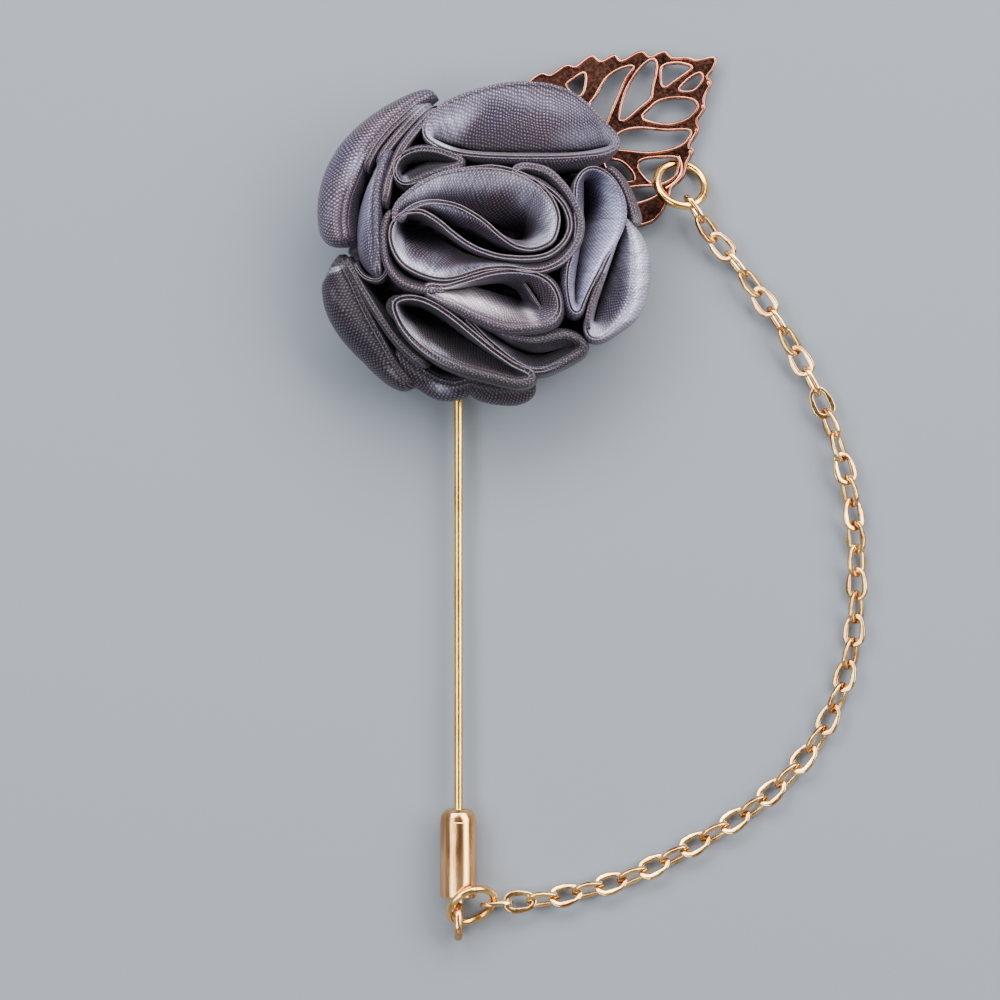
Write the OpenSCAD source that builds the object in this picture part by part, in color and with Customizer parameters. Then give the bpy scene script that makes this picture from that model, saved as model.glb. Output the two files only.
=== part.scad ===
/* [Flower] */
// Width of the flower across its outer petals
flower_d = 36; // [35:0.25:37]
// Height of the petals' crown above the surface that the pin lies on
crown_h = 15.4; // [14:0.2:16.5]
// Thickness of a petal wall, which is four layers of folded satin
petal_wall = 1; // [1:0.02:1.1]
// Width of the stitched cloth base that carries the petals
base_d = 30; // [29:0.5:30.5]
// Width of the felt disc at the back
felt_d = 24; // [20:1:26]
// Thickness of the felt disc
felt_t = 1; // [0.9:0.05:1]

/* [Leaf] */
// Thickness of the leaf's sheet
leaf_t = 0.45; // [0.4:0.05:0.5]
// Height of the raised rims above the sheet
rim_h = 0.15; // [0.1:0.05:0.2]
// Width of the raised rims
rim_w = 0.3; // [0.25:0.05:0.35]

/* [Pin] */
// Thickness of the pin's wire
stem_d = 1; // [0.9:0.05:1.05]
// Length of the wire that shows between the flower and the clutch
stem_shown = 46; // [45.8:0.1:46.2]
// Width of the clutch
clutch_d = 4; // [3.9:0.05:4]
// Length of the clutch without its eye
clutch_l = 9.8; // [9.7:0.05:9.9]
// Outer length of the clutch's eye
eye_l = 4.4; // [4.3:0.05:4.5]

/* [Rings and chain] */
// Outer width of a jump ring
ring_d = 6; // [5.95:0.05:6.05]
// Thickness of a jump ring's wire
ring_wire = 0.78; // [0.74:0.02:0.78]
// Number of links in the chain
link_count = 42; // [42]
// Length of a link
link_l = 3.74; // [3.73:0.01:3.76]
// Width of a link
link_w = 2.6; // [2.5:0.05:2.65]
// Thickness of a link's wire
link_wire = 0.48; // [0.44:0.02:0.48]

/* [Hidden] */
$fn = 48;

// Every place is [across, up] from the flower's middle; this is the middle of the whole pin's outline
outline_middle = [11.97, -27.3];

// Stack of the hidden pieces under the petals
seat_gap = 0.3;
leaf_z = felt_t + 0.1;
pad_d = 10;
pad_z = felt_t + seat_gap;
pad_t = 0.8;
stem_z = clutch_d / 2;
base_z = stem_z + stem_d / 2 + 0.1;
base_h = 3.4;
base_sphere = (pow(base_d / 2, 2) + pow(base_h, 2)) / (2 * base_h);

// The petals' rims are drawn for a flower 36 mm wide and lie on this dome
petal_scale = flower_d / 36;
dome_r = 19.6 * petal_scale;

// Rims of the pocket petals, clockwise, in millimetres: [across, up]
centre_right_rim = [
    [-7.5, 5.0], [-6.0, 6.0], [-3.6, 6.6], [-0.1, 6.7], [3.1, 6.0], [5.5, 4.8], [6.3, 2.9],
    [6.1, 1.0], [4.8, -0.1], [2.8, 0.3], [0.7, 1.9], [-1.5, 3.4], [-3.8, 4.3], [-6.0, 4.2]
];
centre_left_rim = [
    [-10.3, 0.4], [-9.6, 2.2], [-7.9, 2.9], [-5.5, 2.2], [-3.6, 0.3], [-1.5, -1.1], [1.5, -1.7],
    [4.9, -1.7], [7.3, -1.1], [8.3, -1.9], [7.1, -2.8], [3.6, -3.1], [0.4, -3.2], [-2.5, -3.8],
    [-5.3, -3.8], [-8.1, -2.5], [-9.6, -1.1]
];
top_rim = [
    [-6.3, 11.6], [-5.6, 13.3], [-3.9, 14.8], [-0.6, 16.2], [3.1, 17.0], [6.9, 16.8], [10.2, 15.7],
    [12.3, 13.3], [13.9, 11.1], [12.9, 10.0], [9.0, 9.5], [4.7, 9.4], [0.4, 9.6], [-3.3, 10.0],
    [-5.7, 10.6]
];
small_rim = [
    [-9.1, 7.0], [-8.4, 8.4], [-7.6, 9.3], [-6.5, 9.3], [-5.9, 8.4], [-6.5, 7.4], [-7.6, 6.6],
    [-8.6, 6.3]
];
left_rim = [
    [-7.0, 14.5], [-7.5, 13.0], [-8.9, 11.0], [-10.5, 8.7], [-11.6, 6.2], [-12.0, 3.7],
    [-12.0, 0.9], [-11.7, -1.4], [-12.2, -2.5], [-13.3, -1.9], [-14.3, 0.1], [-14.2, 3.4],
    [-13.2, 7.0], [-11.5, 10.2], [-9.2, 12.8]
];
lower_left_rim = [
    [-15.4, -1.2], [-14.6, -2.5], [-14.0, -4.6], [-13.1, -6.7], [-12.0, -9.1], [-10.8, -11.4],
    [-10.9, -12.9], [-13.1, -11.4], [-15.5, -8.7], [-16.9, -5.9], [-17.3, -3.1], [-16.7, -1.5]
];
bottom_rim = [
    [-10.2, -7.0], [-9.3, -5.9], [-7.5, -6.0], [-5.1, -7.2], [-3.0, -8.8], [-0.8, -10.8],
    [1.5, -12.9], [3.6, -14.3], [1.5, -14.6], [-1.7, -13.8], [-4.9, -12.6], [-7.6, -11.1],
    [-9.3, -9.1]
];
lower_right_rim = [
    [1.3, -11.0], [3.6, -11.1], [6.7, -10.9], [9.2, -11.0], [9.7, -11.9], [8.0, -12.9],
    [5.6, -13.4], [3.2, -12.6]
];
middle_rim = [
    [-5.3, -5.5], [-2.5, -5.2], [0.7, -4.6], [4.1, -4.5], [6.2, -5.0], [7.2, -6.4], [7.1, -8.3],
    [5.6, -9.3], [3.0, -9.4], [0.4, -8.6], [-2.1, -7.4], [-4.3, -6.4]
];
right_rim = [
    [10.9, 5.2], [11.4, 7.0], [12.5, 7.7], [13.4, 6.8], [14.1, 5.3], [14.4, 3.4], [14.1, 1.2],
    [12.9, -1.0], [11.8, -3.2], [10.9, -5.5], [10.1, -6.8], [9.3, -5.5], [9.7, -3.4], [10.7, -1.1],
    [11.1, 2.2]
];
right_outer_rim = [
    [15.7, 3.0], [16.6, 1.5], [17.3, -1.6], [17.0, -4.9], [15.5, -7.5], [13.4, -9.3],
    [11.6, -9.8], [11.4, -8.7], [12.2, -6.1], [13.5, -3.3], [14.9, -0.5]
];

// Rims of the strip petals, clockwise round the flower: [across, up]
centre_wrap_rim = [[0.7, 8.1], [3.6, 7.7], [6.6, 6.6], [8.6, 4.5], [9.5, 1.5], [9.6, -0.9]];
left_outer_rim = [
    [-16.7, 0.7], [-17.3, 3.3], [-17.0, 6.3], [-15.8, 9.0], [-13.6, 11.7], [-11.0, 14.0],
    [-8.4, 15.3]
];
under_rim = [[5.1, -16.1], [2.1, -17.1], [-1.2, -17.1], [-4.5, -16.8], [-6.7, -15.4]];

// The leaf's scalloped edge and its piercings: [across, up]
leaf_edge = [
    [4.7, 18.2], [5.9, 19.0], [6.9, 18.8], [8.6, 19.9], [9.7, 19.8], [11.4, 21.0], [12.5, 20.4],
    [14.0, 21.1], [14.8, 20.5], [17.0, 21.5], [18.0, 20.9], [19.6, 21.5], [20.5, 20.8],
    [22.2, 20.8], [23.2, 20.5], [25.2, 20.8], [25.0, 19.6], [24.3, 18.6], [24.8, 18.1],
    [24.0, 16.2], [24.1, 15.2], [23.2, 13.7], [23.4, 12.8], [22.3, 10.9], [22.8, 10.5],
    [22.1, 9.1], [21.6, 7.5], [20.3, 6.2], [19.9, 4.8], [18.6, 2.9], [16.9, 2.2], [13.8, 2.0],
    [9.7, 2.8], [6.4, 4.6], [3.7, 6.4], [1.9, 9.3], [1.4, 12.6], [2.4, 15.9]
];
tip_upper = [[19.4, 19.6], [20.7, 20.0], [22.1, 19.8], [22.3, 19.4], [20.8, 18.4], [19.6, 17.5]];
tip_lower = [[21.3, 17.4], [22.3, 18.3], [23.2, 18.9], [23.6, 18.6], [23.3, 17.8], [22.3, 17.1]];
upper_long = [
    [14.6, 14.1], [14.9, 15.6], [15.5, 17.2], [16.4, 18.8], [17.3, 19.9], [18.2, 20.4],
    [18.6, 20.0], [18.5, 18.8], [17.9, 16.3], [16.9, 15.4], [15.5, 14.1]
];
lower_long = [
    [17.2, 14.2], [18.0, 15.1], [19.1, 15.9], [20.7, 16.2], [22.3, 16.1], [23.0, 15.6],
    [22.8, 14.8], [21.7, 13.9], [19.9, 13.5], [18.2, 13.7]
];
upper_mid = [
    [11.4, 15.4], [12.1, 16.5], [13.2, 18.3], [14.5, 19.3], [15.8, 19.7], [16.0, 19.4],
    [15.1, 18.1], [14.2, 16.2], [13.7, 14.8], [13.1, 13.5], [12.1, 13.9]
];
upper_small = [[8.9, 17.6], [9.8, 18.4], [10.6, 18.9], [10.8, 18.4], [10.6, 17.2], [9.9, 16.7]];
lower_mid = [
    [13.8, 11.5], [15.1, 12.6], [16.9, 12.9], [19.5, 12.7], [21.7, 12.8], [22.3, 12.5],
    [21.7, 11.4], [20.2, 10.7], [18.0, 10.4], [15.5, 10.5]
];
ring_opening = [
    [16.7, 8.8], [17.3, 9.5], [19.3, 9.7], [20.9, 9.6], [20.8, 8.4], [20.4, 7.6], [19.2, 7.0],
    [18.1, 7.1], [17.2, 7.9]
];
low_small = [[13.0, 9.3], [14.6, 9.3], [15.6, 8.5], [16.1, 7.7], [15.8, 7.2], [14.2, 7.4]];
low_end = [[15.5, 6.2], [16.9, 6.5], [18.6, 6.5], [18.8, 5.8], [17.6, 5.2], [15.9, 4.8]];
piercings = [
    tip_upper, tip_lower, upper_long, lower_long, upper_mid, upper_small, lower_mid,
    ring_opening, low_small, low_end
];

// Places on the pin and the rings: [across, up] and the rings' leans
stem_across = -3.05;
clutch_top = -61.65;
upper_ring_at = [21.15, 6.85, 1.76];
upper_ring_low = 65.5;
upper_ring_lean = 31;
lower_ring_at = [-1.585, -72.135, 2.76];
lower_ring_low = -61.4;
lower_ring_lean = 49;

// The chain's middle line, from the leaf's ring to the clutch's: [across, up, height]
chain_line = [
    [22.8, 4.05, 2.4], [24.3, 1.85, 1.75], [26.1, -0.3, 1.45], [28.4, -3.2, 1.38],
    [31.7, -7.8, 1.38], [35.0, -13.5, 1.38], [37.8, -19.6, 1.4], [39.8, -26.7, 1.4],
    [40.6, -33.3, 1.25], [40.4, -42.1, 1.08], [38.6, -49.5, 1.05], [35.1, -55.9, 1.05],
    [29.5, -61.4, 1.05], [23.2, -65.4, 1.05], [16.0, -69.1, 1.05], [8.6, -71.2, 1.15],
    [4.75, -71.75, 1.38], [1.15, -72.05, 1.55]
];

function mix(a, b, t) = a + (b - a) * t;

function crown_z(p) =
    base_z + (crown_h - base_z) * sqrt(max(0.02, 1 - pow(norm(p) / dome_r, 2)));

function base_top(r) =
    base_z + base_h - base_sphere + sqrt(max(0, pow(base_sphere, 2) - r * r));

// Catmull-Rom curve through four neighbouring points
function curve_point(a, b, c, d, t) =
    0.5 * (2 * b + (c - a) * t + (2 * a - 5 * b + 4 * c - d) * t * t
        + (3 * b - a - 3 * c + d) * t * t * t);

function closed_curve(points, steps) =
    let (n = len(points))
    [for (i = [0:n - 1], s = [0:steps - 1])
        curve_point(points[(i + n - 1) % n], points[i], points[(i + 1) % n],
            points[(i + 2) % n], s / steps)];

function open_curve(points, steps) =
    let (n = len(points))
    concat(
        [for (i = [0:n - 2], s = [0:steps - 1])
            curve_point(points[max(i - 1, 0)], points[i], points[i + 1],
                points[min(i + 2, n - 1)], s / steps)],
        [points[n - 1]]);

function unit(v) = v / max(norm(v), 0.000001);

// Outward normals of a clockwise rim
function rim_normals(rim, closed) =
    let (n = len(rim))
    [for (i = [0:n - 1])
        let (
            before = closed ? rim[(i + n - 1) % n] : rim[max(i - 1, 0)],
            after = closed ? rim[(i + 1) % n] : rim[min(i + 1, n - 1)],
            along = unit(after - before)
        )
        [-along[1], along[0]]];

// The same normals averaged over their neighbours, so that an inner wall doesn't fold at a tight end
function eased(normals) =
    let (n = len(normals))
    [for (i = [0:n - 1])
        (normals[(i + n - 2) % n] + normals[(i + n - 1) % n] + normals[i]
            + normals[(i + 1) % n] + normals[(i + 2) % n]) / 5];

// Faces between rings of equal size; closed rings run round, and capped ends meet a middle point
module loft(rings, start_cap, end_cap) {
    n = len(rings[0]);
    m = len(rings);
    points = concat([for (ring = rings, p = ring) p], [start_cap, end_cap]);
    sides = [for (k = [0:m - 2], i = [0:n - 1], half = [0, 1])
        half == 0
            ? [k * n + i, (k + 1) * n + i, (k + 1) * n + (i + 1) % n]
            : [k * n + i, (k + 1) * n + (i + 1) % n, k * n + (i + 1) % n]];
    first = [for (i = [0:n - 1]) [m * n, i, (i + 1) % n]];
    last = [for (i = [0:n - 1]) [m * n + 1, (m - 1) * n + (i + 1) % n, (m - 1) * n + i]];
    polyhedron(points = points, faces = concat(sides, first, last), convexity = 8);
}

// A ring of sections that closes on itself
module loop_loft(rings) {
    n = len(rings[0]);
    m = len(rings);
    faces = [for (k = [0:m - 1], i = [0:n - 1], half = [0, 1])
        half == 0
            ? [k * n + i, ((k + 1) % m) * n + i, ((k + 1) % m) * n + (i + 1) % n]
            : [k * n + i, ((k + 1) % m) * n + (i + 1) % n, k * n + (i + 1) % n]];
    polyhedron(points = [for (ring = rings, p = ring) p], faces = faces, convexity = 8);
}

// A petal opened into a pocket: its rim lies on the dome, and its wall narrows to a seat on the base.
// deep is the seat's middle, and seat_share is how wide the seat is beside the rim.
module pocket(rim_points, deep, seat_share) {
    rim = closed_curve(rim_points * petal_scale, 3);
    middle = deep * petal_scale;
    outward = rim_normals(rim, true);
    inward = eased(outward);
    n = len(rim);
    half_wall = petal_wall / 2;
    share = function (level) mix(seat_share, 1, pow(level, 0.75));
    outer = function (level) [for (i = [0:n - 1])
        middle + (rim[i] - middle) * share(level) + outward[i] * half_wall * (2 - share(level))];
    inner = function (level) [for (i = [0:n - 1])
        middle + (rim[i] - middle - inward[i] * half_wall) * share(level)];
    foot_z = base_top(min([for (p = outer(0)) norm(p)])) + seat_gap;
    floor_z = foot_z + petal_wall;
    outer_ring = function (level, sag) [for (i = [0:n - 1])
        let (p = outer(level)[i]) [p[0], p[1], mix(foot_z, crown_z(rim[i]), level) - sag]];
    inner_ring = function (level) [for (i = [0:n - 1])
        let (p = inner(level)[i]) [p[0], p[1], mix(floor_z, crown_z(rim[i]), level)]];
    loft(
        [inner_ring(0), inner_ring(0.5), inner_ring(1), outer_ring(1, 0), outer_ring(0.7, 0.3),
            outer_ring(0.35, 0.1), outer_ring(0, 0)],
        [middle[0], middle[1], floor_z], [middle[0], middle[1], foot_z]);
}

// A petal that shows as a strip of wall, leaning in to the base by foot_share
module strip(rim_points, foot_share) {
    rim = open_curve(rim_points * petal_scale, 4);
    outward = rim_normals(rim, false);
    n = len(rim);
    half_wall = petal_wall / 2;
    foot_z = base_top(min([for (p = rim) norm(p)]) * foot_share - half_wall) + seat_gap;
    section_point = function (i, level, side)
        let (p = rim[i] * mix(foot_share, 1, pow(level, 0.75)) + outward[i] * half_wall * side)
        [p[0], p[1], mix(foot_z, crown_z(rim[i]), level)];
    section = function (i) [
        for (level = [0, 0.35, 0.7, 1]) section_point(i, level, 1),
        for (level = [1, 0.7, 0.35, 0]) section_point(i, level, -1)
    ];
    centre_of = function (i) (section_point(i, 0.35, 1) + section_point(i, 0.35, -1)) / 2;
    loft([for (i = [0:n - 1]) section(i)], centre_of(0), centre_of(n - 1));
}

module back_pad() {
    color("#4b4a50") cylinder(h = felt_t, d = felt_d);
}

module gathered_base() {
    crown = [for (i = [10:-1:0]) let (r = i / 10 * base_d / 2) [r, base_top(r)]];
    color("#5d5866") rotate_extrude() polygon(concat([[0, base_z]], crown));
}

module petal_centre_right() {
    color("#7d7684") pocket(centre_right_rim, [2.0, 3.5], 0.45);
}

module petal_centre_left() {
    color("#716b79") pocket(centre_left_rim, [-2.2, -2.4], 0.5);
}

module petal_centre_wrap() {
    color("#655f6c") strip(centre_wrap_rim, 0.92);
}

module petal_top() {
    color("#8a8291") pocket(top_rim, [2.2, 11.2], 0.4);
}

module petal_small() {
    color("#5f5967") pocket(small_rim, [-8.0, 7.9], 0.7);
}

module petal_left() {
    color("#6c7285") pocket(left_rim, [-12.6, 2.2], 0.6);
}

module petal_left_outer() {
    color("#8e8a98") strip(left_outer_rim, 0.86);
}

module petal_lower_left() {
    color("#807b88") pocket(lower_left_rim, [-14.6, -6.3], 0.55);
}

module petal_bottom() {
    color("#6b6572") pocket(bottom_rim, [-4.2, -10.4], 0.5);
}

module petal_lower_right() {
    color("#59525f") pocket(lower_right_rim, [5.6, -12.0], 0.6);
}

module petal_middle() {
    color("#78717f") pocket(middle_rim, [2.6, -6.9], 0.45);
}

module petal_right() {
    color("#7780a0") pocket(right_rim, [12.2, 1.0], 0.55);
}

module petal_right_outer() {
    color("#a9a7b3") pocket(right_outer_rim, [14.6, -5.0], 0.55);
}

module petal_under() {
    color("#6a6471") strip(under_rim, 0.86);
}

module leaf() {
    color("#9a5f45")
    translate([0, 0, leaf_z]) {
        linear_extrude(leaf_t) difference() {
            polygon(leaf_edge);
            piercing_shapes();
        }
        translate([0, 0, leaf_t - 0.01]) linear_extrude(rim_h + 0.01) difference() {
            intersection() {
                polygon(leaf_edge);
                for (hole = piercings) offset(r = rim_w, $fn = 12) polygon(closed_curve(hole, 2));
            }
            piercing_shapes();
        }
    }
}

module piercing_shapes() {
    for (hole = piercings) polygon(closed_curve(hole, 2));
}

// Straight wire from the pad under the flower to its point inside the clutch, soldered to the pad
module pin_stem() {
    tip_l = 3;
    inside_l = 5.5;
    stem_end = clutch_top - inside_l;
    color("#d9bd74") {
        translate([stem_across, 0, pad_z]) cylinder(h = pad_t, d = pad_d);
        translate([stem_across, stem_end, stem_z]) rotate([-90, 0, 0])
            cylinder(h = -stem_end, d = stem_d);
        translate([stem_across, stem_end - tip_l, stem_z]) rotate([-90, 0, 0])
            cylinder(h = tip_l, d1 = 0.2, d2 = stem_d);
    }
}

// Stopper with a chamfered mouth, a blind bore for the point, a neck and an eye, soldered together
module clutch() {
    mouth_d = 2.8;
    shoulder_l = 1.4;
    heel_l = 0.3;
    bore_d = stem_d + 0.3;
    neck_d = 1.3;
    eye_w = 3.9;
    eye_wire = 0.9;
    eye_straight = (eye_l - eye_w) / 2;
    color("#c99b6d")
    translate([stem_across, clutch_top, stem_z]) {
        rotate([90, 0, 0]) difference() {
            union() {
                cylinder(h = shoulder_l, d1 = mouth_d, d2 = clutch_d);
                translate([0, 0, shoulder_l]) cylinder(h = clutch_l - shoulder_l - heel_l, d = clutch_d);
                translate([0, 0, clutch_l - heel_l])
                    cylinder(h = heel_l, d1 = clutch_d, d2 = clutch_d - 2 * heel_l);
                translate([0, 0, clutch_l - 0.5]) cylinder(h = 0.9, d = neck_d);
            }
            translate([0, 0, -1]) cylinder(h = 10, d = bore_d);
        }
        translate([0, -clutch_l - eye_l / 2 - 0.25, 0]) rotate([0, 90, 0])
            for (side = [1, -1]) {
                translate([0, side * eye_straight, 0]) rotate([0, 0, side > 0 ? 0 : 180])
                    rotate_extrude(angle = 180)
                        translate([(eye_w - eye_wire) / 2, 0]) circle(d = eye_wire);
                translate([side * (eye_w - eye_wire) / 2, -eye_straight, 0]) rotate([-90, 0, 0])
                    cylinder(h = 2 * eye_straight, d = eye_wire);
            }
    }
}

// low_way is the direction, in degrees from across, of the side that lies lowest
module jump_ring(at, low_way, lean) {
    color("#dcb877")
    translate(at) rotate([0, 0, low_way]) rotate([0, lean, 0])
        rotate_extrude() translate([(ring_d - ring_wire) / 2, 0]) circle(d = ring_wire);
}

module upper_ring() {
    jump_ring(upper_ring_at, upper_ring_low, upper_ring_lean);
}

module lower_ring() {
    jump_ring(lower_ring_at, lower_ring_low, lower_ring_lean);
}

// Distance along a line of points, for each of them
function run_lengths(line, i = 0, sum = 0, found = []) =
    i >= len(line) ? found
    : let (next = i == 0 ? 0 : sum + norm(line[i] - line[i - 1]))
        run_lengths(line, i + 1, next, concat(found, [next]));

function index_at(lengths, s, i = 1) =
    i >= len(lengths) - 1 || lengths[i] >= s ? i : index_at(lengths, s, i + 1);

// A link's turn about the chain: the upper run is twisted, the rest lies on alternate edges
function link_turn(i) =
    i < 10 ? 78 + 60 * i
    : i < 13 ? 60 * (i - 10)
    : i < link_count - 2 ? 45 + 90 * (i % 2) + 45 * max(0, 1 - (i - 13) / 6)
    : i < link_count - 1 ? 15
    : 92;

module link() {
    turn_r = (link_w - link_wire) / 2;
    straight = (link_l - link_w) / 2;
    sections = [for (a = [15:30:345])
        let (
            middle = [turn_r * cos(a) + (cos(a) > 0 ? straight : -straight), turn_r * sin(a), 0],
            out = [cos(a), sin(a), 0]
        )
        [for (b = [300:-60:0]) middle + link_wire / 2 * (out * cos(b) + [0, 0, sin(b)])]];
    loop_loft(sections);
}

module chain() {
    line = open_curve(chain_line, 8);
    lengths = run_lengths(line);
    pitch = lengths[len(lengths) - 1] / (link_count - 1);
    color("#e3c08a")
    for (i = [0:link_count - 1]) {
        s = i * pitch;
        k = index_at(lengths, s);
        t = (s - lengths[k - 1]) / (lengths[k] - lengths[k - 1]);
        at = mix(line[k - 1], line[k], t);
        way = unit(line[k] - line[k - 1]);
        heading = atan2(way[1], way[0]);
        slope = asin(way[2]);
        translate(at) rotate([0, -slope, heading]) rotate([link_turn(i), 0, 0]) link();
    }
}

module placed() {
    translate([-outline_middle[0], -outline_middle[1], 0]) children();
}

placed() back_pad();
placed() gathered_base();
placed() petal_centre_right();
placed() petal_centre_left();
placed() petal_centre_wrap();
placed() petal_top();
placed() petal_small();
placed() petal_left();
placed() petal_left_outer();
placed() petal_lower_left();
placed() petal_bottom();
placed() petal_lower_right();
placed() petal_middle();
placed() petal_right();
placed() petal_right_outer();
placed() petal_under();
placed() leaf();
placed() pin_stem();
placed() clutch();
placed() upper_ring();
placed() lower_ring();
placed() chain();
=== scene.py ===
import math

import bpy
import numpy as np
from mathutils import Matrix, Vector


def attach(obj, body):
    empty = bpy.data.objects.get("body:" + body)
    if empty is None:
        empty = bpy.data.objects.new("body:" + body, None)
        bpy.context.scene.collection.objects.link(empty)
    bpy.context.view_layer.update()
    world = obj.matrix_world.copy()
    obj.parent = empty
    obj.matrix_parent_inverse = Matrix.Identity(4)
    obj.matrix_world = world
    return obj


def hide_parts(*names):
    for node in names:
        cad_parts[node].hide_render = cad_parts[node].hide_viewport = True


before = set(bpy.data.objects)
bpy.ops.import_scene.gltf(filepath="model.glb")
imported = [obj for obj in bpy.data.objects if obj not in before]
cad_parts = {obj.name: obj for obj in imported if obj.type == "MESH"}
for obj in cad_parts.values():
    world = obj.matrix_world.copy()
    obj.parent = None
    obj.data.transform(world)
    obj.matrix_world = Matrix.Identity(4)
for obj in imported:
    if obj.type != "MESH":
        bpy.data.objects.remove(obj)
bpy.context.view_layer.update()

mm = 0.001

# The camera hangs straight over the middle of the view, and the flower's middle is flowerAt in the frame
view = {"height": 480.0, "middle": (-10.462, -0.489), "pixel": 0.11, "half": 500, "sensor": 36.0}
flowerAt = (-11.97, 27.3)


# A place in the view, in pixels from its top left, at height z: x and y in the frame, in millimetres
def onView(px, py, z):
    k = view["pixel"] * (1 - z / view["height"])
    return (px - view["half"]) * k + view["middle"][0], (view["half"] - py) * k + view["middle"][1]


def fromFlower(x, y, z=0.0):
    return Vector(((x + flowerAt[0]) * mm, (y + flowerAt[1]) * mm, z * mm))


# Stage
def makeCamera():
    data = bpy.data.cameras.new("camera")
    data.sensor_width = view["sensor"]
    data.lens = view["sensor"] * view["height"] / (view["pixel"] * 2 * view["half"])
    data.clip_start, data.clip_end = 0.01, 20
    camera = bpy.data.objects.new("camera", data)
    camera.location = (view["middle"][0] * mm, view["middle"][1] * mm, view["height"] * mm)
    bpy.context.collection.objects.link(camera)
    bpy.context.scene.camera = camera


def deselect():
    if bpy.context.object and bpy.context.object.mode != "OBJECT":
        bpy.ops.object.mode_set(mode="OBJECT")
    bpy.ops.object.select_all(action="DESELECT")


def only(*pieces):  # selects these, the first one active
    deselect()
    for piece in pieces:
        piece.select_set(True)
    bpy.context.view_layer.objects.active = pieces[0]


def settle():  # the selected objects' places, turns and sizes go into their meshes
    bpy.ops.object.transform_apply(location=True, rotation=True, scale=True)


def edit():
    bpy.ops.object.mode_set(mode="EDIT")
    bpy.ops.mesh.select_all(action="SELECT")


def closeEdit(angle=180):  # normals out and smooth, but for edges sharper than the angle
    bpy.ops.mesh.select_all(action="SELECT")
    bpy.ops.mesh.normals_make_consistent(inside=False)
    bpy.ops.object.mode_set(mode="OBJECT")
    if angle < 180:
        bpy.ops.object.shade_smooth_by_angle(angle=math.radians(angle))
    else:
        bpy.ops.object.shade_smooth()


def joined(name, *pieces):
    only(*pieces)
    bpy.ops.object.join()
    bpy.context.object.name = name
    return bpy.context.object


def meshPiece(name, verts, faces):
    mesh = bpy.data.meshes.new(name)
    mesh.from_pydata(verts, [], faces)
    piece = bpy.data.objects.new(name, mesh)
    bpy.context.collection.objects.link(piece)
    return piece


def handOver(piece, slot, *replaced):
    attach(piece, "root")
    if replaced:
        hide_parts(*replaced)


def nodesOf(material):
    material.use_nodes = True
    tree = material.node_tree
    tree.nodes.clear()
    out = tree.nodes.new("ShaderNodeOutputMaterial")
    shader = tree.nodes.new("ShaderNodeBsdfPrincipled")
    tree.links.new(shader.outputs[0], out.inputs[0])
    return tree, shader


def node(tree, kind, inputs=(), **settings):
    made = tree.nodes.new(kind)
    for key, value in settings.items():
        setattr(made, key, value)
    for socket, value in dict(inputs).items():
        if isinstance(value, bpy.types.NodeSocket):
            tree.links.new(value, made.inputs[socket])
        else:
            made.inputs[socket].default_value = value
    return made


def maths(tree, operation, a, b=0.0, clamp=False):
    return node(tree, "ShaderNodeMath", {0: a, 1: b}, operation=operation, use_clamp=clamp).outputs[0]


def mixed(tree, factor, a, b, blend="MIX"):  # a and b are sockets, or colours of three values
    a, b = ((*value, 1) if isinstance(value, tuple) else value for value in (a, b))
    return node(tree, "ShaderNodeMix", {0: factor, 6: a, 7: b}, data_type="RGBA", blend_type=blend).outputs[2]


def ranged(tree, value, low, high, outLow=0.0, outHigh=1.0):
    return node(tree, "ShaderNodeMapRange", {0: value, 1: low, 2: high, 3: outLow, 4: outHigh}).outputs[0]


def attribute(tree, name):
    return node(tree, "ShaderNodeAttribute", attribute_name=name).outputs["Fac"]


def noise(tree, where, scale, **inputs):
    return node(tree, "ShaderNodeTexNoise", {"Vector": where, "Scale": scale, **inputs}).outputs[0]


def dent(tree, shader, strength, deep, height):  # deep in millimetres
    bump = node(tree, "ShaderNodeBump", {"Strength": strength, "Distance": deep * mm, "Height": height})
    tree.links.new(bump.outputs[0], shader.inputs["Normal"])


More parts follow.
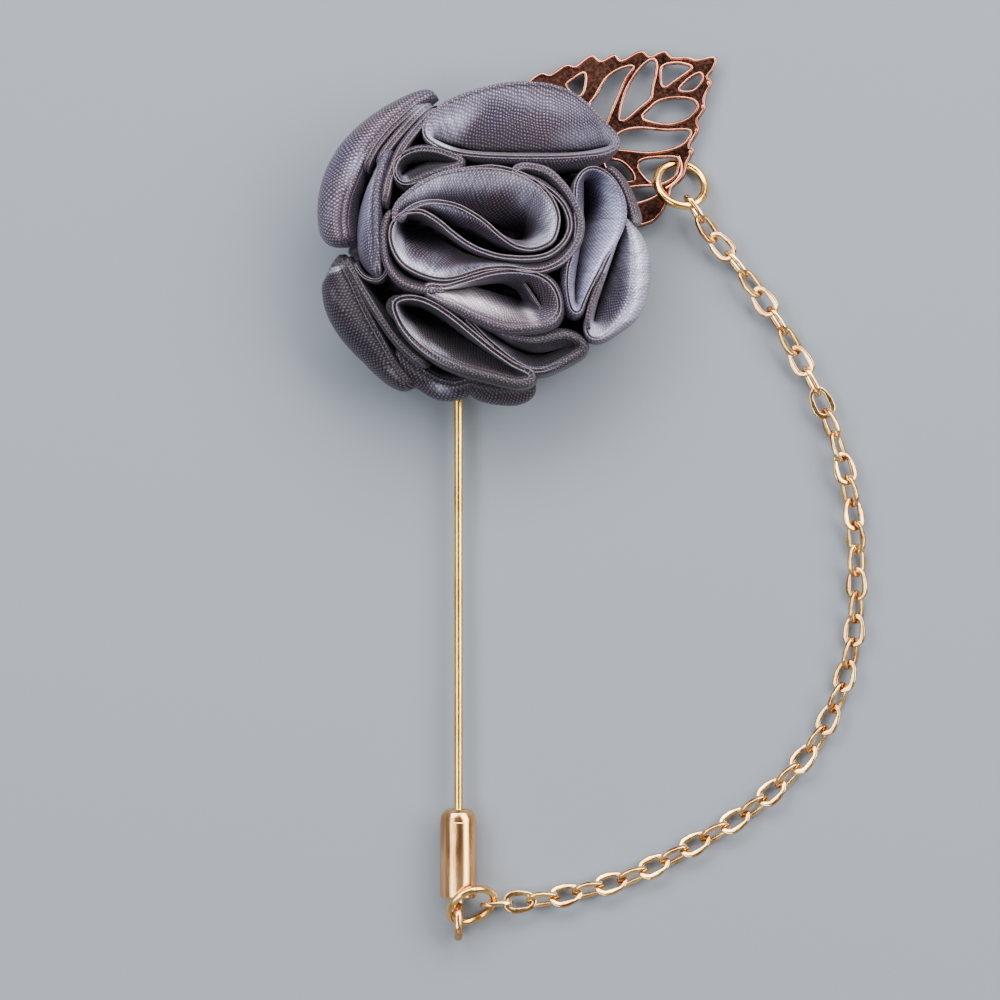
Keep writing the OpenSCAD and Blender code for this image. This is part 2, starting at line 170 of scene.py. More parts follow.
def makeStage():
    floorLook = {"colour": (0.182, 0.203, 0.230, 1), "size": 3.0, "rough": 0.7, "shine": 0.2}
    bpy.ops.mesh.primitive_plane_add(size=floorLook["size"], location=(0, 0, 0))
    floor = bpy.context.object
    floor.name = "floor"
    material = bpy.data.materials.new("floorPaper")
    tree, shader = nodesOf(material)
    shader.inputs["Base Color"].default_value = floorLook["colour"]
    shader.inputs["Roughness"].default_value = floorLook["rough"]
    shader.inputs["Specular IOR Level"].default_value = floorLook["shine"]
    floor.data.materials.append(material)
    look = {"walls": 0.50, "ceiling": 0.24}
    world = bpy.data.worlds.new("studio")
    bpy.context.scene.world = world
    world.use_nodes = True
    tree = world.node_tree
    background = tree.nodes["Background"]
    background.inputs[0].default_value = (0.86, 0.90, 1.0, 1)
    way = node(tree, "ShaderNodeTexCoord").outputs["Generated"]
    up = node(tree, "ShaderNodeSeparateXYZ", {0: way}).outputs[2]
    walls = ranged(tree, up, 0.05, 0.55, look["walls"], look["ceiling"])  # bright walls round a dim ceiling
    tree.links.new(walls, background.inputs[1])
    # name: place, where it points, size, power, colour
    lamps = {
        "windowRight": ((0.44, 0.28, 0.48), (-0.01, 0.01, 0), (1.0, 0.42), 13.6, (1.0, 0.97, 0.95)),
        "softLeft": ((-0.52, 0.02, 0.60), (-0.01, 0.01, 0), (0.80, 0.30), 4.6, (0.88, 0.91, 1.0)),
        "overLeft": ((-0.34, -0.30, 0.95), (-0.01, 0.0, 0), (0.40, 0.22), 3.0, (1.0, 0.99, 0.97)),
        "softBelow": ((0.0, -0.7, 0.5), (-0.01, 0.0, 0), (0.8, 0.2), 0.4, (0.92, 0.94, 1.0)),
        "softAbove": ((-0.18, 0.52, 0.5), (-0.01, 0.0, 0), (0.9, 0.3), 10.0, (1.0, 0.98, 0.97)),
    }
    for name, (place, aim, size, power, colour) in lamps.items():
        data = bpy.data.lights.new(name, "AREA")
        data.shape = "RECTANGLE"
        data.size, data.size_y = size
        data.energy = power
        data.color = colour
        lamp = bpy.data.objects.new(name, data)
        lamp.location = place
        lamp.rotation_euler = (Vector(aim) - Vector(place)).to_track_quat("-Z", "Y").to_euler()
        bpy.context.collection.objects.link(lamp)
    print("camera and stage")


# Finishes

# Satin with staggered dots of weave on its UV map, in millimetres, the floats partly painted glints. Its
# attributes are depth (painted shade: 0 deep in a pocket, 1 in the open), edge (a cut edge), and a painted
# highlight and a painted shade (where each lies)
def satin(name, look):
    material = bpy.data.materials.new(name)
    tree, shader = nodesOf(material)
    uv = node(tree, "ShaderNodeUVMap", uv_map="cloth").outputs[0]
    wander = node(tree, "ShaderNodeTexNoise", {"Vector": uv, "Scale": look["wander"]}).outputs["Color"]
    halfUp = (0.5, 0.5, 0.5)
    shift = node(tree, "ShaderNodeVectorMath", {0: wander, 1: halfUp}, operation="SUBTRACT").outputs[0]
    bent = node(tree, "ShaderNodeVectorMath", {0: shift, 1: uv}, operation="ADD").outputs[0]
    axes = node(tree, "ShaderNodeSeparateXYZ", {0: bent})
    across = maths(tree, "COSINE", maths(tree, "MULTIPLY", axes.outputs[0], 2 * math.pi / look["pitch"]))
    along = maths(tree, "COSINE", maths(tree, "MULTIPLY", axes.outputs[1], math.pi / look["rows"]))
    dots = ranged(tree, maths(tree, "MULTIPLY", across, along), 0.0, 0.8)
    yarn = noise(tree, uv, look["yarn"], Detail=3.0, Roughness=0.7)
    dots = maths(tree, "MULTIPLY", dots, ranged(tree, yarn, 0.3, 0.62, 0.35, 1.2))
    # streaks along the threads, lighter and darker: uneven yarn, and partly painted satin sheen
    drawn = node(tree, "ShaderNodeMapping", {"Vector": bent, "Scale": look["streaks"]}).outputs[0]
    streaks = ranged(tree, noise(tree, drawn, 1.0, Detail=3.0, Roughness=0.6), 0.32, 0.68)
    # the floats lighter than the ground: the weave's pattern, and partly painted glints on the floats
    colour = mixed(tree, dots, look["ground"], look["float"])
    colour = mixed(tree, streaks, colour, look["streak"], "SOFT_LIGHT")
    patches = ranged(tree, noise(tree, uv, look["patches"], Detail=1.0), 0.36, 0.64)
    colour = mixed(tree, 1.0, colour, mixed(tree, patches, look["warm"], look["cool"]), "MULTIPLY")
    # painted highlight: where the petal's sheen spots lie the colour goes lighter, streaked along the threads
    drawnPaintedSheen = ranged(tree, streaks, 0, 1, 0.45, 1.2)
    paintedSheen = maths(tree, "MULTIPLY", attribute(tree, "paintedSheen"), drawnPaintedSheen, clamp=True)
    colour = mixed(tree, paintedSheen, colour, mixed(tree, dots, look["paintedSheenGround"], look["paintedSheen"]))
    # painted shade: where the petal's shade spots lie the colour goes darker
    paintedShade = maths(tree, "MULTIPLY", attribute(tree, "paintedShade"), look["paintedShade"])
    colour = mixed(tree, paintedShade, colour, look["shade"])
    # painted shade: deep in a pocket the colour goes to a darker weave
    depth = attribute(tree, "depth")
    colour = mixed(tree, depth, mixed(tree, dots, look["shade"], look["deep"]), colour)
    fray = ranged(tree, yarn, 0.35, 0.6, 0.35, 0.85)
    colour = mixed(tree, maths(tree, "MULTIPLY", attribute(tree, "edge"), fray), colour, look["edge"])
    tree.links.new(colour, shader.inputs["Base Color"])
    rough = ranged(tree, dots, 0.0, 1.0, 0.60, look["rough"])
    tree.links.new(ranged(tree, depth, 0.0, 0.6, 1.0, rough), shader.inputs["Roughness"])
    height = maths(tree, "ADD", dots, maths(tree, "MULTIPLY", yarn, 0.35))
    dent(tree, shader, look["bump"], 0.06, height)
    tangent = node(tree, "ShaderNodeTangent", direction_type="UV_MAP", uv_map="cloth")
    tree.links.new(tangent.outputs[0], shader.inputs["Tangent"])
    for socket, value in {"Metallic": look["lustre"], "Specular IOR Level": 0.6, "Anisotropic": 0.6,
                          "Sheen Weight": look["sheen"], "Sheen Roughness": 0.4,
                          "Sheen Tint": (0.90, 0.86, 1.0, 1)}.items():
        shader.inputs[socket].default_value = value
    return material


def metal(name, look):  # plated metal with fine scratches and cloudy tarnish, on object coordinates
    material = bpy.data.materials.new(name)
    tree, shader = nodesOf(material)
    look = {"fine": 2600.0, "broad": 300.0, "speckle": 0.2, "bump": 0.05, "grain": (1, 1, 1), **look}
    where = node(tree, "ShaderNodeTexCoord").outputs["Object"]
    where = node(tree, "ShaderNodeMapping", {"Vector": where, "Scale": look["grain"]}).outputs[0]
    fine = noise(tree, where, look["fine"], Detail=4.0, Roughness=0.65)
    broad = noise(tree, where, look["broad"], Detail=3.0)
    colour = mixed(tree, ranged(tree, broad, 0.38, 0.62), look["dark"], look["colour"])
    colour = mixed(tree, ranged(tree, fine, 0.45, 0.7, 0.0, look["speckle"]), colour, look["bright"])
    tree.links.new(colour, shader.inputs["Base Color"])
    tree.links.new(ranged(tree, fine, 0.3, 0.7, *look["rough"]), shader.inputs["Roughness"])
    dent(tree, shader, look["bump"], 0.04, fine)
    shader.inputs["Metallic"].default_value = 1.0
    return material


def rawCloth(name, look):  # felt and gathered cloth, on object coordinates
    material = bpy.data.materials.new(name)
    tree, shader = nodesOf(material)
    fluff = noise(tree, node(tree, "ShaderNodeTexCoord").outputs["Object"], look["size"], Detail=4.0)
    colour = mixed(tree, ranged(tree, fluff, 0.35, 0.65), look["dark"], look["light"])
    tree.links.new(colour, shader.inputs["Base Color"])
    dent(tree, shader, 0.6, 0.08, fluff)
    shader.inputs["Roughness"].default_value = 0.9
    return material


# Its colours include painted shade for pockets and shaded spots, and painted highlight for the sheen spots
satinLook = {
    "pitch": 0.37, "rows": 0.30, "ground": (0.015, 0.009, 0.014), "float": (0.158, 0.125, 0.163),
    "streak": (0.60, 0.53, 0.65), "deep": (0.125, 0.100, 0.132), "shade": (0.034, 0.026, 0.036),
    "edge": (0.32, 0.26, 0.30), "paintedSheen": (0.86, 0.86, 1.0), "paintedSheenGround": (0.42, 0.41, 0.56),
    "warm": (1.08, 0.97, 0.90), "cool": (0.92, 0.97, 1.10), "paintedShade": 0.85,
    "rough": 0.34, "bump": 0.5, "sheen": 0.08, "lustre": 0.4,
    "wander": 0.35, "yarn": 2.3, "streaks": (2.6, 0.2, 1.0), "patches": 0.16,  # noise, per millimetre
}
satinKinds = {  # what differs from satinLook
    "satin": {},
    # painted light: a lighter copy of the satin for petals that lie in more light
    "paintedLitSatin": {"ground": (0.030, 0.022, 0.032), "float": (0.275, 0.235, 0.29)},
    # a bluer copy, with a bluer painted highlight
    "blueSatin": {"ground": (0.020, 0.018, 0.034), "float": (0.20, 0.185, 0.27), "paintedSheen": (0.80, 0.80, 1.0),
                  "paintedSheenGround": (0.36, 0.36, 0.56)},
    # a copy with a warmer painted highlight
    "warmSatin": {"paintedSheen": (1.0, 0.92, 0.95), "paintedSheenGround": (0.50, 0.44, 0.50)},
    # painted shade: a darker copy of the satin for petals that lie in shade
    "paintedShadeSatin": {"ground": (0.008, 0.005, 0.007), "float": (0.100, 0.080, 0.100),
                  "shade": (0.008, 0.006, 0.008)},
}
metalKinds = {
    "antiqueCopper": {
        "colour": (0.160, 0.064, 0.044), "dark": (0.046, 0.018, 0.013), "bright": (0.46, 0.22, 0.14),
        "broad": 210.0, "speckle": 0.26, "rough": (0.20, 0.36), "bump": 0.36},
    "brightCopper": {
        "colour": (0.72, 0.31, 0.20), "dark": (0.34, 0.12, 0.07), "bright": (1.0, 0.66, 0.44),
        "fine": 1500.0, "broad": 260.0, "rough": (0.16, 0.26), "bump": 0.03},
    "paleGold": {
        "colour": (0.96, 0.66, 0.17), "dark": (0.76, 0.48, 0.10), "bright": (1.0, 0.85, 0.38),
        "rough": (0.12, 0.24), "bump": 0.06},
    "ringGold": {
        "colour": (1.0, 0.64, 0.21), "dark": (0.72, 0.38, 0.09), "bright": (1.0, 0.86, 0.48),
        "rough": (0.12, 0.22)},
    "champagneGold": {
        "colour": (1.0, 0.64, 0.25), "dark": (0.58, 0.28, 0.08), "bright": (1.0, 0.89, 0.54),
        "broad": 500.0, "speckle": 0.35, "rough": (0.10, 0.22)},
    "roseGold": {
        "colour": (0.90, 0.47, 0.17), "dark": (0.46, 0.20, 0.07), "bright": (1.0, 0.80, 0.42),
        "broad": 900.0, "speckle": 0.45, "rough": (0.15, 0.27), "bump": 0.14, "grain": (1.0, 0.12, 1.0)},
}
finishes = {name: satin(name, {**satinLook, **kind}) for name, kind in satinKinds.items()}
finishes.update((name, metal(name, kind)) for name, kind in metalKinds.items())
finishes["gatheredSatin"] = rawCloth("gatheredSatin", {
    "dark": (0.030, 0.023, 0.032), "light": (0.15, 0.12, 0.155), "size": 1500.0})
finishes["felt"] = rawCloth("felt", {
    "dark": (0.02, 0.018, 0.022), "light": (0.07, 0.062, 0.072), "size": 2600.0})


# Cloth
dome = {"foot": 2.8, "rise": 12.6, "reach": 19.6}


def crown(x, y):  # height of the petals' rims above the surface, at a place from the flower's middle
    return dome["foot"] + dome["rise"] * math.sqrt(max(0.02, 1 - (math.hypot(x, y) / dome["reach"]) ** 2))


def curveThrough(rows, closed, parts):  # Catmull-Rom through the rows, all columns
    rows = np.array(rows, float)
    n = len(rows)
    fine = []
    for i in range(n if closed else n - 1):
        if closed:
            a, b, c, d = (rows[(i + k) % n] for k in (-1, 0, 1, 2))
        else:
            a, b, c, d = rows[max(i - 1, 0)], rows[i], rows[i + 1], rows[min(i + 2, n - 1)]
        for t in np.arange(parts) / parts:
            fine.append(0.5 * (2 * b + (c - a) * t + (2 * a - 5 * b + 4 * c - d) * t * t
                               + (3 * b - a - 3 * c + d) * t ** 3))
    fine.append(rows[0] if closed else rows[-1])
    return np.array(fine)


def smoothRows(rows, count, closed):  # the same curve at even steps in x and y
    fine = curveThrough(rows, closed, 12)
    length = np.r_[0, np.cumsum(np.hypot(*np.diff(fine[:, :2], axis=0).T))]
    steps = np.linspace(0, length[-1], count + 1)
    if closed:
        steps = steps[:-1]
    return np.stack([np.interp(steps, length, column) for column in fine.T], axis=1)


def unroll(top, foot):  # lays the strip between two rows of points flat, triangle by triangle
    def third(p, q, a, b):  # the point at distance a from p and b from q, on the far side
        d = max(np.linalg.norm(q - p), 1e-9)
        along = (a * a - b * b + d * d) / (2 * d)
        up = math.sqrt(max(a * a - along * along, 0))
        way = (q - p) / d
        return p + way * along + np.array([way[1], -way[0]]) * up
    flatTop, flatFoot = [np.zeros(2)], [np.array([0.0, -np.linalg.norm(top[0] - foot[0])])]
    n = len(top)
    for i in range(n):
        j = (i + 1) % n
        t, f = flatTop[-1], flatFoot[-1]
        newTop = third(f, t, np.linalg.norm(top[j] - foot[i]), np.linalg.norm(top[j] - top[i]))
        newFoot = third(f, newTop, np.linalg.norm(foot[j] - foot[i]), np.linalg.norm(foot[j] - top[j]))
        flatTop.append(newTop)
        flatFoot.append(newFoot)
    return np.array(flatTop), np.array(flatFoot)


def valleyPoint(valley, x, y):  # the nearest place on a petal's valley, and its depth
    best = None
    for (ax, ay, ad), (bx, by, bd) in zip(valley, valley[1:]):
        long = (bx - ax) ** 2 + (by - ay) ** 2
        t = min(1.0, max(0.0, ((x - ax) * (bx - ax) + (y - ay) * (by - ay)) / max(long, 1e-9)))
        px, py = ax + (bx - ax) * t, ay + (by - ay) * t
        gap = math.hypot(x - px, y - py)
        if best is None or gap < best[0]:
            best = (gap, px, py, ad + (bd - ad) * t)
    return best[1:]


# A petal is one wall of folded cloth along its rim. A row of the rim: x and y in the view, and how crisp the
# fold is (1 is two cut edges with a groove, 0 a soft roll). Its inner side lands on the petal's valley, whose
# rows are x, y and the depth under the crown. A strip has no valley: its rows go on with x and y where the
# inner side lands, how far down that is, and how far the outer side flares out. Rows over a valley may go on
# with their own flare and softness. Sheens are soft spots of painted highlight or, below 0, of painted shade:
# x, y, two half sizes, the turn of the first and the strength
petalLook = {
    "count": 200,  # steps along the rim
    "wall": 0.46, "soft": 0.8,  # thickness, and how much thicker a soft roll is
    "lift": 0.0, "base": 3.0,  # rim above the crown, and the height where the cloth ends
    "share": 0.06,  # how far from the valley towards the rim the inner side lands
    "flare": 0.5, "tuck": 0.3, "waist": 0.35,  # outer side: how far out and back in, and its widest height
    # light: how fast the painted shade in a pocket lifts towards its rim; bandShade: painted shade on a soft
    # roll
    "groove": 0.4, "bulge": 1.6, "light": 1.7, "bandShade": 0.3,
    "endDip": 1.3, "endShare": 0.07,  # how far the ends of a strip dip, and over which part of it
    # outShine: how much of the painted highlight and shade reaches the outer side
    "finish": "satin", "grain": 0.0, "outShine": 0.5, "paintedLightSpots": (), "replaces": (),
}
petalSteps = {"inner": 18, "outer": 14}
# painted shade: in inside, dark and power darken a pocket towards its bottom; in outside, fade, shade and
# flareShade darken the outer side downwards; in roll, grooveShade darkens the groove between the cut edges
inside = {"lowest": 4.6, "slit": 0.3, "evening": 6, "dark": 0.12, "power": 1.1}
outside = {"bend": 0.7, "step": 0.16, "back": 0.6, "power": 1.5, "fade": 0.8, "shade": 0.32,
           "flareShade": 0.42}
roll = {"height": 0.62, "sink": 0.3, "least": 0.25, "grooveShade": 0.8}
stripEnd = {"thin": 0.8, "round": 2.2, "rise": 3.4, "least": 0.2}  # lengths, and the least part of the wall
stripLand = {"rim": 1.2, "under": 1.0, "above": 0.5, "below": 0.4}
# The fold at the rim, from its inner side: the place across the wall and how far the groove sinks
foldRows = ((0.0, 0.25), (0.06, 0.03), (0.17, 0.0), (0.29, 0.7), (0.5, 1.0), (0.71, 0.7), (0.83, 0.0),
            (0.94, 0.03), (1.0, 0.25))
cutEdges = (0.06, 0.17, 0.83, 0.94)


def rimAndLand(rows, look):  # the rim, where its inner side lands, and the values of its rows, at even steps
    full = []
    for row in rows:
        row = list(row)
        if "valley" in look:
            x, y, drop = valleyPoint(look["valley"], row[0], row[1])
            flare = row[3] if len(row) > 3 else look["flare"]
            soft = row[4] if len(row) > 4 else look["soft"]
            share = look["share"]
            row = row[:3] + [x + (row[0] - x) * share, y + (row[1] - y) * share, drop, flare, soft]
        else:
            row += [look["soft"]]
        full.append(row)
    line = smoothRows(full, look["count"], "valley" in look)
    rim, land = [], []
    for row in line:
        x, y = onView(row[0], row[1], 10)  # about the right height, to look up the crown
        z = crown(x - flowerAt[0], y - flowerAt[1]) + look["lift"]
        rim.append((*onView(row[0], row[1], z), z))
        low = max(z - row[5], inside["lowest"])
        land.append((*onView(row[3], row[4], low), low))
    return line, np.array(rim), np.array(land)


def roundOff(near, length):  # 0 at the end of a strip, and 1 from this length on
    return np.sqrt(1 - (1 - np.clip(near / length, 0, 1)) ** 2)


# Rows of points from the bottom of the pocket over the rim to the foot, their painted shade and their cut
# edges
def petalRings(rows, look):
    closed = "valley" in look
    line, rim, land = rimAndLand(rows, look)
    n = len(line)
    crisp, flare = np.clip(line[:, 2], 0, 1), line[:, 6]
    base = np.full(n, look["base"])
    wall = look["wall"] * (1 + line[:, 7] * (1 - crisp))
    if closed:  # neighbouring rows may land on one spot, so the landing is evened out along the rim
        for _ in range(inside["evening"]):
            land = (np.roll(land, 1, 0) + 2 * land + np.roll(land, -1, 0)) / 4
        ahead, behind = np.roll(rim, -1, 0), np.roll(rim, 1, 0)
    else:
        ends = np.minimum(np.arange(n), np.arange(n)[::-1]) / max(1.0, n * look["endShare"])
        rim[:, 2] -= look["endDip"] * (1 - np.clip(ends, 0, 1)) ** 2
        land[:, 2] = np.minimum(land[:, 2], rim[:, 2] - stripLand["under"])
        ahead, behind = np.vstack([rim[1:], rim[-1:]]), np.vstack([rim[:1], rim[:-1]])
        run = np.r_[0, np.cumsum(np.hypot(*np.diff(rim[:, :2], axis=0).T))]
        near = np.minimum(run, run[-1] - run)
        wall = wall * (stripEnd["least"] + (1 - stripEnd["least"]) * roundOff(near, stripEnd["thin"]))
        flare = flare * roundOff(near, stripEnd["round"])
        rise = np.maximum(rim[:, 2] - stripLand["rim"] - base, 0)
        base = base + rise * (1 - roundOff(near, stripEnd["rise"]))
        land[:, 2] = np.clip(land[:, 2], base + stripLand["above"], rim[:, 2] - stripLand["below"])
    way = (ahead - behind)[:, :2]
    way /= np.maximum(np.linalg.norm(way, axis=1), 1e-9)[:, None]
    out = np.stack([-way[:, 1], way[:, 0], np.zeros(n)], axis=1)
    well = land.copy()  # the slit under the pocket
    well[:, 2] = base + inside["slit"]
    none = np.zeros(n)
    rings, paintedDepthShades, edges = [well], [none], [none]
    for s in np.arange(petalSteps["inner"]) / petalSteps["inner"]:
        ring = land + (rim - land) * s
        ring[:, 2] = land[:, 2] + (rim[:, 2] - land[:, 2]) * (1 - (1 - s) ** look["bulge"])
        rings.append(ring)
        # painted shade, darker towards the bottom of the pocket
        paintedDepthShades.append(np.full(n, min(1.0, inside["dark"] + s * look["light"]) ** inside["power"]))
        edges.append(none)
    for offset, sink in foldRows:
        ring = rim + out * (wall * offset)[:, None]
        up = roll["height"] * math.sqrt(max(0.0, 1 - (2 * offset - 1) ** 2)) - roll["sink"]
        up = up * np.clip(roll["least"] + line[:, 7], 0, 1)
        ring[:, 2] += (1 - crisp) * up * wall - crisp * look["groove"] * sink
        rings.append(ring)
        # painted shade in the groove between the cut edges, and on a soft roll
        shade = roll["grooveShade"] if 0.2 < offset < 0.8 else 0.0
        paintedDepthShades.append(1 - crisp * shade - (1 - crisp) * look["bandShade"])
        edges.append(crisp * (offset in cutEdges))
    low = base + (rim[:, 2] - base) * look["waist"]
    top = rim[:, 2] - outside["step"] * look["groove"]
    for t in np.arange(1, petalSteps["outer"] + 1) / petalSteps["outer"]:
        if t < outside["bend"]:
            a = t / outside["bend"] * math.pi / 2
            reach, z = math.sin(a), top - (rim[:, 2] - low) * (1 - math.cos(a))
        else:
            b = (t - outside["bend"]) / (1 - outside["bend"])
            reach, z = 1 - outside["back"] * b ** outside["power"], low + (base - low) * b
        ring = rim + out * (wall + flare * reach - look["tuck"] * t)[:, None]
        ring[:, 2] = z
        rings.append(ring)
        # painted shade, darker down the outer side
        shade = (1 - t * outside["fade"]) * (outside["shade"] + outside["flareShade"] * flare)
        paintedDepthShades.append(np.clip(shade, 0.05, 1))
        edges.append(none)
    return np.array(rings), np.concatenate(paintedDepthShades), np.concatenate(edges)


# Both sides of the cloth laid flat, and the start of the outer side along the fold
def clothMap(rings, split, grain):
    m, n = rings.shape[:2]
    innerTop, innerFoot = unroll(rings[split], rings[0])
    outerTop, outerFoot = unroll(rings[split], rings[-1])
    flats = np.zeros((m, n + 1, 2))
    for i in range(n + 1):
        for first, last, top, foot in ((0, split, innerFoot, innerTop), (split, m - 1, outerTop, outerFoot)):
            run = np.r_[0, np.cumsum(np.linalg.norm(np.diff(rings[first:last + 1, i % n], axis=0), axis=1))]
            for k, part in enumerate(run / run[-1]):
                if first == 0 or k:
                    flats[first + k, i] = top[i] + (foot[i] - top[i]) * part
    c, d = math.cos(math.radians(grain)), math.sin(math.radians(grain))
    turn = np.array([[c, d], [-d, c]])
    return flats @ turn, outerTop @ turn


def paintedLightOn(points, paintedLightSpots):  # painted highlight (below 0 shade) on each point, as seen in the view
    scale = view["pixel"] * (1 - points[:, 2] / view["height"])
    seenX = view["half"] + (points[:, 0] - view["middle"][0]) / scale
    seenY = view["half"] - (points[:, 1] - view["middle"][1]) / scale
    sheen = np.zeros(len(points))
    for x, y, long, wide, angle, strength in paintedLightSpots:
        c, d = math.cos(math.radians(angle)), math.sin(math.radians(angle))
        u, v = (seenX - x) * c + (seenY - y) * d, -(seenX - x) * d + (seenY - y) * c
        sheen += strength * np.exp(-((u / long) ** 2 + (v / wide) ** 2))
    return sheen


def petal(name, rows, look):
    look = {**petalLook, **look}
    closed = "valley" in look
    rings, paintedDepthShades, edges = petalRings(rows, look)
    m, n = rings.shape[:2]
    split = 1 + petalSteps["inner"] + len(foldRows) // 2  # the middle of the fold, where both sides start
    flats, outerStart = clothMap(rings, split, look["grain"])
    verts = [tuple(p * mm) for ring in rings for p in ring]
    faces, uvs = [], []
    spans = n if closed else n - 1
    for k in range(m - 1):
        for i in range(spans):
            j = (i + 1) % n
            faces.append((k * n + i, k * n + j, (k + 1) * n + j, (k + 1) * n + i))
            near = outerStart if k == split else flats[k]
            uvs += [near[i], near[i + 1], flats[k + 1][i + 1], flats[k + 1][i]]
    if closed:
        for k in (0, m - 1):  # the floor of the pocket, and the underside
            verts.append(tuple(np.mean(rings[k], axis=0) * mm))
            for i in range(n):
                tri = (k * n + i, k * n + (i + 1) % n, len(verts) - 1)
                faces.append(tri if k else tri[::-1])
                uvs += [(0, 0), (0.1, 0), (0, 0.1)]
    else:
        for i in (0, n - 1):
            faces.append(tuple(k * n + i for k in range(m)))
            uvs += [(rings[k][i][1], rings[k][i][2]) for k in range(m)]
        for i in range(n - 1):  # underside, from foot to foot
            faces.append((i, (m - 1) * n + i, (m - 1) * n + i + 1, i + 1))
            uvs += [(0, 0), (0.1, 0), (0.1, 0.1), (0, 0.1)]
    piece = meshPiece(name, verts, faces)
    mesh = piece.data
    mesh.uv_layers.new(name="cloth").data.foreach_set("uv", np.array(uvs, float).ravel())
    ring = np.repeat(np.arange(m), n)
    outer = petalSteps["outer"]
    down = np.clip((ring - m + outer) / outer, 0, 1)  # how far down the outer side
    # painted highlight and painted shade from the spots, fading down the outer side
    sheen = paintedLightOn(rings.reshape(-1, 3), look["paintedLightSpots"])
    sheen = np.where(ring >= split, sheen * look["outShine"] * np.clip(1.25 - down, 0.1, 1), sheen)
    columns = {"depth": paintedDepthShades, "edge": edges, "paintedSheen": np.clip(sheen, 0, 1), "paintedShade": np.clip(-sheen, 0, 1)}
    for key, column in columns.items():
        values = list(column) + [0.0] * (len(verts) - len(column))
        mesh.attributes.new(key, "FLOAT", "POINT").data.foreach_set("value", values)
    mesh.validate()
    only(piece)
    edit()
    closeEdit()
    mesh.materials.append(finishes[look["finish"]])
    handOver(piece, "satin")
    if look["replaces"]:
        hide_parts(*look["replaces"])


